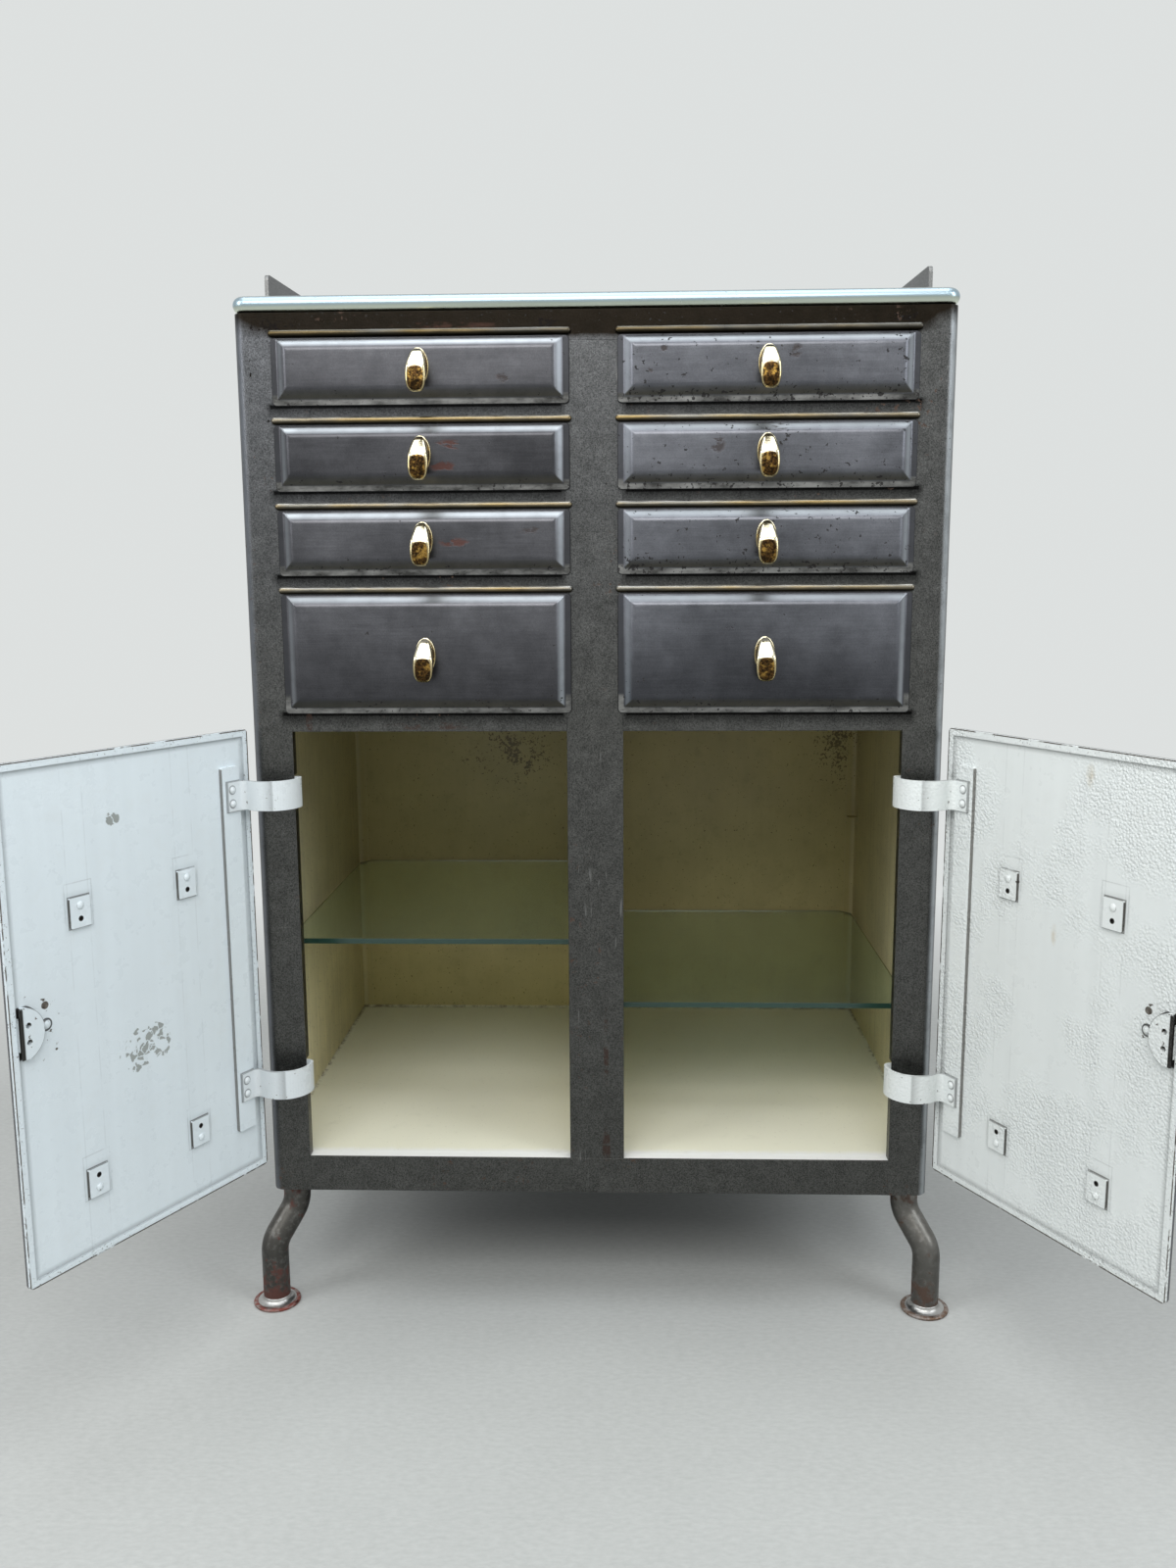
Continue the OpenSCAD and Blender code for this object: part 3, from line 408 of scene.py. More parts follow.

# ============ 3. Inside of the cupboard ============
# Floor, deck, partition, shelf tabs and hinge ears are thin sheet welded in and painted
# with the same cream enamel, paler on the floor; on the walls it is darker and yellower, part yellowing and
# part painted shade.
cream, bsdf, where = finish_of("inside_cream")
paint, paint_rough, paint_relief = cream_paint(where)
coat(bsdf, paint, 0.0, paint_rough)
bump(bsdf, paint_relief, 0.0003, 0.4)
for name in ("cupboard_floor", "drawer_deck", "centre_partition", "shelf_tabs", "hinge_lugs"):
    dress(node[name], cream)

# ============ 4. Top plate ============
# One polished sheet folded down all round over a half-round edge. The edge's upper half is painted bright
# and bluish as a reflection of the sky; its lower half is painted green-grey, and lighter where it curls
# under into shade, as painted light. The flat face is rubbed by use, with a few brown spots.
top_bright, bsdf, where = finish_of("top_steel")
z = axes(where)[2]
cloud = grain(where, 6, 4, 0.6, 21)
brush = grain(where, 60, 3, 0.6, 22, (0.05, 1.0, 1.0))
wavy = (grain(where, 5, 2, 0.5, 26) - 0.5) * 0.0035
# split parts the painted reflection of the edge: bright and bluish above, green-grey below.
split = step(z + wavy, seam_z + 0.0058, seam_z + 0.0082)
colour = mix(cloud, (0.350, 0.460, 0.535), (0.415, 0.525, 0.590))
colour = mix(step(z, seam_z + 0.0135, seam_z + 0.0160), colour, (0.50, 0.56, 0.575))
colour = dim(colour, brush, 0.35, 0.75, 1.0, 0.88)
lower_half_reflection = mix(step(z, seam_z + 0.001, seam_z + 0.008), (0.750, 0.800, 0.680), (0.330, 0.380, 0.345))
colour = mix(split, dim(lower_half_reflection, brush, 0.3, 0.7, 0.85, 1.15), colour)
stains = step(grain(where, 240, 2, 0.5, 23), 0.70, 0.75) * step(grain(where, 18, 2, 0.5, 24), 0.52, 0.66)
colour = mix(stains * 0.7, colour, (0.16, 0.12, 0.08))
flat = step(z, seam_z + 0.0160, seam_z + 0.0164, 0.0, 0.16)
coat(bsdf, colour, 1.0, step(brush, 0.3, 0.7, 0.22, 0.34) + flat + stains * 0.4)
bump(bsdf, grain(where, 9, 2, 0.5, 25) + brush * 0.06, 0.0008, 0.30)
dress(node["top_plate"], top_bright)

# ============ 5. Gallery ============
# A low upstand of doubled sheet along the back and sides of the top, its wings cut to
# a slope and rounded at the nose, in the same dark steel, with a painted highlight on its upward and forward
# faces.
gallery_steel, bsdf, where = finish_of("gallery_steel")
cloud = grain(where, 14, 4, 0.6, 31)
fine = grain(where, 420, 3, 0.6, 32)
stipple = grain(where, 700, 2, 0.7, 33)
colour = mix(cloud, (0.105, 0.106, 0.106), (0.165, 0.166, 0.168))
colour = dim(colour, stipple, 0.3, 0.7, 0.65, 1.35)
_, ny, nz = facing(where)
# Painted highlight on the faces that look up or forward.
rim = step(most(nz, ny * -1.0), 0.35, 0.75)
colour = mix(rim * 0.45, colour, (0.30, 0.30, 0.295))
coat(bsdf, colour, 1.0, step(fine, 0.3, 0.7, 0.34, 0.48))
bump(bsdf, stipple, 0.0003, 0.4)
dress(node["gallery"], gallery_steel)
soften(node["gallery"], 0.0009, 3)

# ============ 6. Legs ============
# Each leg is one steel tube bent twice, so that its round foot stands outside the body's
# corner. The foot is a turned disc, welded on with a bright fillet; the tube is dark and rusted.
tube_r, weld_r = 14.5, 6.0


def grid_faces(rings, around):
    """Quads between rings of points: ring k's point i, its neighbour, and the same two on ring k + 1."""
    k, i = np.meshgrid(np.arange(rings - 1), np.arange(around), indexing="ij")
    j = (i + 1) % around
    quads = [k * around + i, k * around + j, (k + 1) * around + j, (k + 1) * around + i]
    return np.stack(quads, -1).reshape(-1, 4)


def closed_skin(points):
    """Vertices and faces of a skin through points[ring, around, xyz], its two end rings filled."""
    rings, around = points.shape[:2]
    faces = grid_faces(rings, around).tolist()
    first = list(range(around))[::-1]
    last = list(range((rings - 1) * around, rings * around))
    return points.reshape(-1, 3), faces + [first, last]


def add_piece(name, skins, finish, body, replaced, marks):
    """One smooth object from several closed skins in millimetres, standing for CAD nodes on a body.
    marks names attributes, each with one array of values per skin."""
    points, faces, count = [], [], 0
    for verts, quads in skins:
        points.append(verts)
        faces += [[count + i for i in face] for face in quads]
        count += len(verts)
    mesh = bpy.data.meshes.new(name)
    mesh.from_pydata((np.concatenate(points) * 0.001).tolist(), [], faces)
    mesh.polygons.foreach_set("use_smooth", np.ones(len(faces), bool))
    for key, values in marks.items():
        held = mesh.attributes.new(key, "FLOAT", "POINT")
        held.data.foreach_set("value", np.concatenate([v.reshape(-1) for v in values]).astype(np.float32))
    mesh.materials.append(finish)
    mesh.update()
    made = bpy.data.objects.new(name, mesh)
    bpy.context.scene.collection.objects.link(made)
    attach(made, body)
    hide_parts(*replaced)


def bent_leg(top, side_x, side_y, spread, knee, bend, turn_deg, height, foot_r, foot_t):
    """The tube: circles of radius tube_r square to a centre line that runs straight up from the foot,
    leans in through an arc of turn_deg, and comes back upright through the same arc.
    The foot: a profile of radius and height turned once round the foot's own axis."""
    lean = math.radians(turn_deg)
    run = spread * math.sqrt(2)
    slope = (run - 2 * bend * (1 - math.cos(lean))) / math.sin(lean)
    rise = 2 * bend * math.sin(lean) + slope * math.cos(lean)
    a = np.linspace(0, lean, 13)
    low = np.c_[run - bend * (1 - np.cos(a)), knee + bend * np.sin(a), a]
    high = np.c_[bend * (1 - np.cos(a)), knee + rise - bend * np.sin(a), a][::-1]
    start = np.array([[run, 1.0, 0], [run, foot_t + 1, 0], [run, (foot_t + knee) / 2, 0]])
    line = np.vstack([start, low, high, [[0, height - 0.01, 0]]])
    u = np.linspace(0, 2 * np.pi, 48, endpoint=False)
    forward = line[:, :1] + tube_r * np.cos(u) * np.cos(line[:, 2:3])
    side = np.broadcast_to(tube_r * np.sin(u), forward.shape)
    tall = line[:, 1:2] + tube_r * np.cos(u) * np.sin(line[:, 2:3])
    q = np.linspace(0, np.pi / 2, 7)
    edge = np.linspace(-1.2, 1.45, 8)
    profile = np.vstack([[[foot_r - 6, 0.0]], [[foot_r - 1.8, 0.0]],
                         np.c_[foot_r - 1.75 + 1.75 * np.cos(edge), foot_t / 2 + foot_t / 2 * np.sin(edge)],
                         [[foot_r - 2.4, foot_t]], [[tube_r + weld_r + 0.6, foot_t]],
                         np.c_[tube_r + weld_r - weld_r * np.sin(q), foot_t + weld_r - weld_r * np.cos(q)],
                         [[tube_r - 0.6, foot_t + weld_r + 0.3]]])
    foot = np.stack([run + profile[:, :1] * np.cos(u), profile[:, :1] * np.sin(u),
                     np.broadcast_to(profile[:, 1:], (len(profile), 48))], -1)
    tube = np.stack([forward, side, tall], -1)
    along = np.array([side_x, side_y]) / math.sqrt(2)
    across = np.array([-along[1], along[0]])
    skins, marks = [], []
    for points, is_foot in ((tube, 0.0), (foot, 1.0)):
        flat = points[..., :1] * along + points[..., 1:2] * across + np.array(top)
        placed = np.concatenate([flat, points[..., 2:]], -1)
        skins.append(closed_skin(placed))
        near = np.linalg.norm(points[..., :2] - np.array([run, 0]), axis=-1)
        on_weld = (near < tube_r + weld_r + 0.4) & (placed[..., 2] > foot_t - 0.1)
        marks.append(is_foot * np.where(on_weld, 1.0, 0.5))
    return skins, marks


def stored(where, name):
    """The numbers that a mesh keeps at its points under a name."""
    return out(part(where.tree, "Attribute", {}, attribute_name=name), "Fac")


leg_steel, bsdf, where = finish_of("leg_steel")
x, _, z = axes(where)
mark = stored(where, "mark")
cloud = grain(where, 26, 4, 0.6, 41)
mottle = grain(where, 150, 4, 0.65, 42)
colour = mix(cloud, (0.052, 0.048, 0.042), (0.115, 0.112, 0.105))
colour = dim(colour, x, -0.05, 0.05, 1.0, 1.6)
colour = mix(step(mottle, 0.50, 0.75, 0, 0.6), colour, (0.24, 0.235, 0.225))
left = step(x, 0.05, -0.05)
red = mix(left, (0.070, 0.036, 0.022), (0.088, 0.026, 0.018))
low_down = step(z, 0.062, 0.012)
near_top = step(z, under_z - 0.035, under_z - 0.004)
share = low_down * 0.20 + near_top * 0.16
rust = step(grain(where, 75, 4, 0.65, 43) + share, 0.60, 0.70)
colour = mix(rust * 0.85, colour, red)
foot_disc = step(mark, 0.25, 0.45) * step(mark, 0.75, 0.6)
disc_red = mix(left, (0.15, 0.095, 0.065), (0.20, 0.052, 0.040))
disc = mix(step(grain(where, 170, 3, 0.6, 44), 0.42, 0.66), disc_red, (0.30, 0.27, 0.25))
colour = mix(foot_disc, colour, disc)
weld = step(mark, 0.8, 0.97)
colour = mix(weld, colour, mix(mottle, (0.30, 0.295, 0.285), (0.55, 0.545, 0.53)))
dull = rust * (1.0 - weld)
coat(bsdf, colour, step(dull, 0, 1, 1.0, 0.35), step(mottle, 0.3, 0.7, 0.30, 0.46) + dull * 0.3)
bump(bsdf, mottle + rust * 0.5, 0.0005, 0.5)
for name, side_x, side_y in (("front_left", -1, -1), ("front_right", 1, -1), ("rear_left", -1, 1),
                             ("rear_right", 1, 1)):
    low_box, high_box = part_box("leg_" + name)
    top_x = (high_box.x if side_x < 0 else low_box.x) * 1000 + side_x * tube_r
    top_y = (high_box.y if side_y < 0 else low_box.y) * 1000 + side_y * tube_r
    skins, marks = bent_leg((top_x, top_y), side_x, side_y, spread=21.5, knee=60.0, bend=30.0, turn_deg=40.0,
                            height=under_z * 1000, foot_r=25.45, foot_t=3.5)
    add_piece("bent_leg_" + name, skins, leg_steel, "cabinet", ["leg_" + name], {"mark": marks})

# ============ 7. Glass shelves ============
# Two plates of 6 mm float glass with clipped rear corners, resting on the tabs. Clear with
# a green cast, deep green where the cut edge gathers the light, and a little dust on top.
glass, bsdf, where = finish_of("shelf_glass")
edge = step(abs(facing(where)[2]), 0.8, 0.5)
dust = step(grain(where, 300, 3, 0.6, 51), 0.45, 0.75)
rough = step(dust, 0, 1, 0.01, 0.05) + edge * 0.18
coat(bsdf, mix(edge, (0.75, 0.870, 0.78), (0.028, 0.078, 0.060)), 0.0, rough)
wire(bsdf, "Transmission Weight", step(edge, 0, 1, 0.97, 0.35))
wire(bsdf, "IOR", 1.5)
bump(bsdf, grain(where, 12, 2, 0.5, 52), 0.0003, 0.2)
for name in ("shelf_left", "shelf_right"):
    dress(node[name], glass)
    soften(node[name], 0.0004)

# ============ 8. Bead strips, runners and trays ============
# Half-round strips are tacked over each drawer front, warm with tarnish on their fronts; their upper faces
# carry a painted highlight, their lower faces painted shade, and those under the top its painted shadow.
# The runners and trays behind are plain folded sheet, never polished.
bead_warm, bsdf, where = finish_of("bead_steel")
z, nz = axes(where)[2], facing(where)[2]
fine = grain(where, 260, 3, 0.6, 62, (0.2, 1, 1))
warm = step(grain(where, 9, 3, 0.6, 61, (1, 0.3, 2.0)), 0.40, 0.62)
front_side = mix(warm, (0.165, 0.155, 0.132), (0.240, 0.175, 0.080))
# Painted shade on the faces that look down.
colour = mix(step(nz, 0.02, -0.55), front_side, (0.034, 0.028, 0.018))
# Painted highlight on the faces that look up.
colour = mix(step(nz, 0.42, 0.80), colour, mix(warm, (0.60, 0.595, 0.57), (0.56, 0.52, 0.42)))
colour = dim(colour, fine, 0.3, 0.7, 0.72, 1.22)
# Painted shadow of the top on the strips of the top row.
colour = dim(colour, z, 0.96, 1.015, 1.0, 0.45)
coat(bsdf, colour, 1.0, step(fine, 0.3, 0.7, 0.26, 0.42))
bump(bsdf, fine, 0.0003, 0.3)
dress(node["bead_strips"], bead_warm)

plain, bsdf, where = finish_of("plain_steel")
cloud = grain(where, 12, 4, 0.6, 64)
mill = grain(where, 200, 3, 0.6, 65, (1, 0.05, 1))
colour = mix(cloud, (0.30, 0.30, 0.295), (0.46, 0.46, 0.455))
colour = mix(step(mill, 0.4, 0.7, 0, 0.4), colour, (0.24, 0.235, 0.225))
specks = step(grain(where, 190, 3, 0.6, 66), 0.66, 0.72) * step(grain(where, 15, 2, 0.5, 67), 0.50, 0.62)
colour = mix(specks, colour, (0.12, 0.06, 0.03))
coat(bsdf, colour, step(specks, 0, 1, 1.0, 0.3), step(mill, 0.3, 0.7, 0.34, 0.48) + specks * 0.3)
bump(bsdf, mill, 0.0003, 0.3)
drawers = [f"drawer_{side}_{row}" for side in ("left", "right") for row in (1, 2, 3, 4)]
for name in ["drawer_runners", "hinge_pins"] + [drawer + "_tray" for drawer in drawers]:
    dress(node[name], plain)

# ============ 9. Doors ============
# Each door is a stamped skin hemmed round a flat liner. Straps, stiffener bar, rack pads and
# catch are fixed to the inner side and painted white with it; the outer side is bare steel.
# The paint is chipped along the hem and the catch, and flaked off in two patches on the left door.
opening = math.radians(118.5)
pin = (-0.335, front_y + 0.0067)
hinge_edge, door_gap = -0.31325, 0.0008
door_w, door_low, door_h = 0.290, 0.173, 0.466
# Places along the door count from its hinge edge and those up it from its foot; stud_back counts from the
# free edge.
catch_up, stud_back = 0.2325, 0.0365
straps_up, rivet_along, rivets_up = (0.0965, 0.4010), 0.0285, (-0.007, 0.007)
dents_along = (0.078, 0.100, 0.201, 0.223)
pads = ((0.089, 0.0705, 0.006), (0.212, 0.0705, 0.006), (0.089, 0.325, -0.006), (0.212, 0.325, -0.006))


def least(first, *others):
    """The smallest of several values."""
    for other in others:
        first = calc("MINIMUM", first, other)
    return first


def door_turned(where, side, shift):
    """A place or direction of the open door as it is on the shut left one: mirrored for the right door,
    turned back by the opening angle, and moved by shift."""
    return out(part(where.tree, "Mapping", {"Vector": where, "Scale": (side, 1, 1),
                                            "Rotation": (0, 0, opening), "Location": shift}))


def cells(where, scale, kind, output):
    """One output of cells about 1/scale metres wide round random points, worked out by the named kind."""
    return out(part(where.tree, "TexVoronoi", {"Vector": where, "Scale": scale}, feature=kind), output)


def door_finish(name, side, tint_low, tint_high, peel, wall_shade=0.0, flakes=(), bare_spots=(), stains=()):
    """White enamel over grey primer on the inner side, bare steel on the outer. side is 1 on the left door
    and -1 on the right. peel is the depth of the orange-peel patches, and the argument after it the share of
    painted shade on the upright sides of raised fittings. Spots are (along, up, half width, half height): at
    flakes the paint has come off in angular flakes, at bare_spots it is rubbed through, and stains are small
    and tan."""
    made, shader, where = finish_of(name)
    c, s = math.cos(opening), math.sin(opening)
    shift = (-(c * pin[0] - s * pin[1]) - (hinge_edge - pin[0]),
             -(s * pin[0] + c * pin[1]) - (front_y - door_gap - pin[1]), -door_low)
    local = door_turned(where, side, shift)
    along, through, tall = axes(local)
    cloud = grain(local, 5, 3, 0.55, 71)
    dirt = grain(local, 45, 4, 0.65, 72)
    wash = grain(local, 60, 2, 0.5, 73, (1, 1, 0.04))
    fine = grain(local, 260, 3, 0.6, 74)
    wide = grain(local, 30, 3, 0.6, 75)
    colour = mix(cloud, tint_low, tint_high)
    colour = dim(colour, wash, 0.3, 0.7, 0.975, 1.02)
    colour = mix(step(dirt, 0.55, 0.85, 0, 0.14), colour, (0.58, 0.57, 0.52))
    for dent_along in dents_along:
        # Faint upright line of an older fitting.
        dent = step(abs(along - dent_along), 0.0010, 0.0003)
        colour = dim(colour, dent * step(wide, 0.40, 0.55), 0, 1, 1.0, 0.90)
    # The hem round the edge, and painted shade in the crease inside it.
    rim = least(along, door_w - along, tall, door_h - tall)
    on_leaf = step(along, -0.0020, -0.0010) * step(through, 0.0016, 0.0010)
    hem = step(rim, 0.0078, 0.0066) * on_leaf
    hem_shade = step(rim, 0.0125, 0.0076) * step(rim, 0.0060, 0.0072)
    colour = dim(colour, hem_shade, 0, 1, 1.0, 0.62)
    # Painted shade on the upright sides of raised fittings.
    raised = step(through, 0.0004, 0.0010)
    normal = out(part(where.tree, "TexCoord", {}), "Normal")
    _, n_through, n_up = axes(door_turned(normal, side, (0, 0, 0)))
    wall = step(abs(n_through), 0.72, 0.35) * step(n_up, 0.6, 0.2) * step(rim, 0.0115, 0.0125)
    colour = mix(wall * wall_shade, colour, (0.115, 0.105, 0.09))
    colour = dim(colour, tall, 0.44, 0.24, 1.0, 0.92)
    # gone is where the paint has come off: along the rim, in specks and tears of the hem, on edges and round
    # the catch.
    outline = (step(rim, 0.0015, 0.0009) * on_leaf * step(n_through, 0.1, 0.3)
               * step(grain(local, 38, 3, 0.6, 76), 0.36, 0.44))
    speck_at = grain(local, 430, 2, 0.6, 77) + wide * 0.30
    speck = step(speck_at, 0.80, 0.82) * hem * 0.75
    torn = step(fine + wide * 0.5, 0.935, 0.95) * hem * step(rim, 0.0040, 0.0020)
    gone = most(outline, speck, torn)
    chipped = step(fine + wide * 0.35, 0.855, 0.87)
    gone = most(gone, chipped * raised * step(abs(n_through), 0.985, 0.93))
    near_catch = step(spot(along, tall, door_w - 0.020, catch_up, 0.036, 0.040), 0.1, 0.3)
    ragged = grain(local, 170, 3, 0.6, 78) + wall * 0.30
    gone = most(gone, near_catch * step(ragged, 0.665, 0.68))
    # Dark lines round the catch, round the stud beside it and in the catch's slot.
    off_along, off_tall = along - (door_w - 0.0068), tall - catch_up
    ring = step(abs(reach(off_along, off_tall) - 0.0249), 0.0010, 0.0005)
    ring = ring * step(off_along, 0.0, -0.001) * step(abs(off_tall), 0.0236, 0.0230)
    from_stud = reach(along - (door_w - stud_back), tall - (catch_up + 0.0005))
    ring = most(ring, step(abs(from_stud - 0.0051), 0.0011, 0.0006))
    ring = ring * step(wide, 0.36, 0.46)
    slot_line = step(abs(along - (door_w - 0.0087)), 0.0022, 0.0016)
    slot_line = slot_line * step(abs(tall - catch_up), 0.0238, 0.0228)
    # Seams round the ends of the straps and round their rivets.
    seam = 0.0
    for strap_up in straps_up:
        off_tall = tall - strap_up
        beyond = most(along - 0.034, abs(off_tall) - 0.015)
        seam = most(seam, step(beyond, -0.0006, 0.0001) * step(beyond, 0.0014, 0.0005))
        for rivet_up in rivets_up:
            from_rivet = reach(along - rivet_along, off_tall - rivet_up)
            seam = most(seam, step(abs(from_rivet - 0.0041), 0.0009, 0.0003))
    seam = seam * step(along, 0.009, 0.012) * step(through, 0.0, 0.001)
    colour = dim(colour, seam, 0, 1, 1.0, 0.42)
    for place in bare_spots:
        highlight_and_wear = spot(along, tall, *place) * step(fine, 0.25, 0.5, 0.7, 1.0)
        gone = most(gone, step(highlight_and_wear, 0.30, 0.36))
    # Angular flakes, each gone or kept by chance, and most often gone in the middle of the spot.
    flaked = 0.0
    if flakes:
        noise = part(where.tree, "TexNoise", {"Vector": local, "Scale": 260.0, "Detail": 2.0})
        drift = part(where.tree, "VectorMath", {0: out(noise, "Color"), "Scale": 0.0055}, operation="SCALE")
        drifted = out(part(where.tree, "VectorMath", {0: local, 1: out(drift)}, operation="ADD"))
        chance = axes(cells(drifted, 135.0, "F1", "Color"))[0]
        for place in flakes:
            near = spot(along, tall, *place)
            flaked = most(flaked, step(near, 0.0, 0.02) * step(near * 0.75 + chance, 0.80, 0.82))
        flaked = flaked * step(cells(drifted, 135.0, "DISTANCE_TO_EDGE", "Distance"), 0.05, 0.09)
    for place in stains:
        tan = spot(along, tall, *place) * step(dirt, 0.35, 0.6) * 0.8
        colour = mix(tan, colour, (0.46, 0.37, 0.22))
    bare = mix(step(fine, 0.35, 0.65), (0.055, 0.042, 0.032), (0.20, 0.185, 0.165))
    colour = mix(flaked, colour, mix(dirt, (0.26, 0.285, 0.275), (0.37, 0.395, 0.385)))
    colour = mix(gone, colour, bare)
    colour = mix(most(slot_line, ring * 0.9), colour, (0.012, 0.011, 0.010))
    # Dark lines round the pads, part dirt and part painted shade, a soft painted shadow round each, their
    # spare holes painted black as the shade inside them, and the ghost of a larger pad round each.
    near_pad, hole, ghost = 1.0, 0.0, 1.0
    for pad_along, pad_up, hole_up in pads:
        off_along, off_tall = abs(along - pad_along), tall - pad_up
        near_pad = least(near_pad, most(off_along - 0.011, abs(off_tall) - 0.014))
        hole = most(hole, spot(along, tall, pad_along, pad_up + hole_up, 0.0034, 0.0034))
        ghost = least(ghost, abs(most(off_along - 0.0145, abs(off_tall - 0.006) - 0.021)))
    line = step(near_pad, -0.0004, 0.0001) * step(near_pad, 0.0013, 0.0006)
    line = line * step(wide, 0.30, 0.46, 0.45, 0.95)
    colour = mix(line * 0.85, colour, (0.075, 0.070, 0.062))
    # Soft painted shadow round each pad.
    colour = dim(colour, step(near_pad, 0.0065, 0.0005) * step(near_pad, -0.0004, 0.0001), 0, 1, 1.0, 0.88)
    colour = dim(colour, step(ghost, 0.0008, 0.0003) * step(wide, 0.42, 0.54), 0, 1, 1.0, 0.80)
    # Spare holes painted black as the shade inside them.
    colour = mix(step(hole, 0.2, 0.4), colour, (0.020, 0.018, 0.016))
    # The bare outer side.
    steel = mix(cloud, (0.15, 0.152, 0.16), (0.22, 0.223, 0.232))
    steel = mix(step(dirt, 0.5, 0.75, 0, 0.5), steel, (0.10, 0.098, 0.095))
    steel = dim(steel, grain(local, 620, 2, 0.7, 80), 0.3, 0.7, 0.75, 1.25)
    outer = (through < -0.0024) * (along > -0.0012)
    rough = step(dirt, 0.3, 0.7, 0.24, 0.36) + most(gone * 0.25, flaked * 0.3)
    coat(shader, mix(outer, colour, steel), most(outer, gone * 0.5), rough)
    pebble = step(cells(local, 360.0, "F1", "Distance"), 0.75, 0.15)
    patch = step(grain(local, 8, 3, 0.6, 81), 0.43, 0.52) * pebble
    lumps = grain(local, 330, 2, 0.5, 82) * hem * 0.5
    relief = patch * (peel - outer * peel) + cloud * 0.3 + lumps
    relief = relief - most(gone, flaked) * 0.35
    bump(shader, relief, 0.0016, 0.6)
    return made


left_tints = ((0.735, 0.815, 0.865), (0.80, 0.87, 0.905))
right_tints = ((0.775, 0.812, 0.805), (0.832, 0.862, 0.850))
stud_chip = (door_w - stud_back, 0.2505, 0.0050, 0.0048)
door_white = {
    "left": door_finish("door_white_left", 1, *left_tints, peel=0.08, wall_shade=0.85,
                        flakes=[(0.148, 0.178, 0.031, 0.023), (0.170, 0.402, 0.008, 0.007)],
                        bare_spots=[stud_chip, (0.245, 0.208, 0.0018, 0.0015)]),
    "right": door_finish("door_white_right", -1, *right_tints, peel=0.75, wall_shade=0.85,
                         bare_spots=[stud_chip, (0.100, 0.330, 0.0020, 0.0016)],
                         stains=[(0.178, 0.442, 0.006, 0.012), (0.146, 0.290, 0.004, 0.012)]),
}
strap_white = {
    "left": door_finish("strap_white_left", 1, (0.690, 0.740, 0.765), (0.745, 0.785, 0.805), peel=0.08),
    "right": door_finish("strap_white_right", -1, *right_tints, peel=0.3),
}
for side in ("left", "right"):
    for piece in ("skin", "liner", "bar", "pads", "catch"):
        dress(node[f"door_{side}_{piece}"], door_white[side])
    dress(node[f"door_{side}_straps"], strap_white[side])
    for piece, width in (("bar", 0.0009), ("pads", 0.0003), ("catch", 0.0005), ("skin", 0.0006)):
        soften(node[f"door_{side}_{piece}"], width)

# ============ 10. Drawer fronts ============
# Each front is one pressed sheet: a folded edge, a narrow border, a bevel turned over a round
# bar and a raised flat field. It is half-polished bare steel with small pits and smears of rust beside some
# pulls. Its upper bevel carries a painted highlight, its lower bevel painted shade and its folded edge the
# near-black painted shade of the gap round it; the lowest row is painted darker, and each front lighter
# towards its top, as painted reflection.


def rounded_line(corners, cuts):
    """A broken line whose corners are replaced by parabolas that start cuts away from each corner."""
    made = [corners[:1]]
    share = np.linspace(0, 1, 9)[:, None]
    for before, at, after, cut in zip(corners[:-2], corners[1:-1], corners[2:], cuts):
        a = at + cut * (before - at) / np.linalg.norm(before - at)
        b = at + cut * (after - at) / np.linalg.norm(after - at)
        made.append((1 - share) ** 2 * a + 2 * share * (1 - share) * at + share ** 2 * b)
    return np.vstack(made + [corners[-1:]])


def pressed_front(wide, high, depth, border_t, border_w, bevel_w, radius, lift):
    """Rings of a rounded rectangle, drawn in and moved out along one bent profile. Above the middle the bevel
    and the field reach lift higher, which makes the upper border narrower. Point on ring k: the corner's
    centre plus the ring's corner radius times (cos, sin) of the turn. Also, for each point: its inset from
    the outer edge, and its height from -1 at the foot to 1 at the top."""
    ridge = border_w + bevel_w
    profile = rounded_line(np.array([[20.0, 0.0], [0.0, 0.0], [0.0, border_t], [border_w, border_t],
                                     [ridge, depth], [ridge + 7, depth]]), [0.6, 0.8, 1.6, 3.0])
    drawn, stands = profile[:, 0], profile[:, 1]
    quarter = np.linspace(0, np.pi / 2, 7)
    turn = np.concatenate([quarter + q * np.pi / 2 for q in range(4)])
    sx = np.repeat([1, -1, -1, 1], 7)
    sz = np.repeat([1, 1, -1, -1], 7)
    r = np.interp(drawn, [0, border_w, ridge], [radius, 1.6, 1.0])[:, None]
    raised = np.where(stands > 0.5, np.clip((drawn - 0.8) / (border_w - 0.8), 0, 1), 0)[:, None]
    x = sx * (wide / 2 - drawn[:, None] - r) + r * np.cos(turn)
    z = sz * (high / 2 - drawn[:, None] - r) + r * np.sin(turn) + lift * raised * (sz > 0)
    y = np.broadcast_to(-stands[:, None], x.shape)
    inset = np.where(stands > 0.5, drawn, 0.0)
    return np.stack([x, y, z], -1), np.broadcast_to(inset[:, None], x.shape), z / (high / 2)


front_steel, bsdf, where = finish_of("front_steel")
x, _, z = axes(where)
nx, _, nz = facing(where)
inset, tall = stored(where, "inset"), stored(where, "tall")
cloud = grain(where, 9, 4, 0.6, 81)
brush = grain(where, 700, 3, 0.6, 82, (0.04, 1, 1))
mottle = grain(where, 48, 4, 0.65, 83)
fine = grain(where, 900, 2, 0.6, 90)
right_side = step(x, -0.02, 0.02)
colour = mix(right_side, (0.096, 0.096, 0.105), (0.121, 0.124, 0.139))
second_left = step(z, 0.862, 0.868) * step(z, 0.946, 0.940) * (1.0 - right_side)
colour = dim(colour, second_left, 0, 1, 1.0, 0.72)
colour = dim(colour, cloud, 0.32, 0.68, 0.78, 1.22)
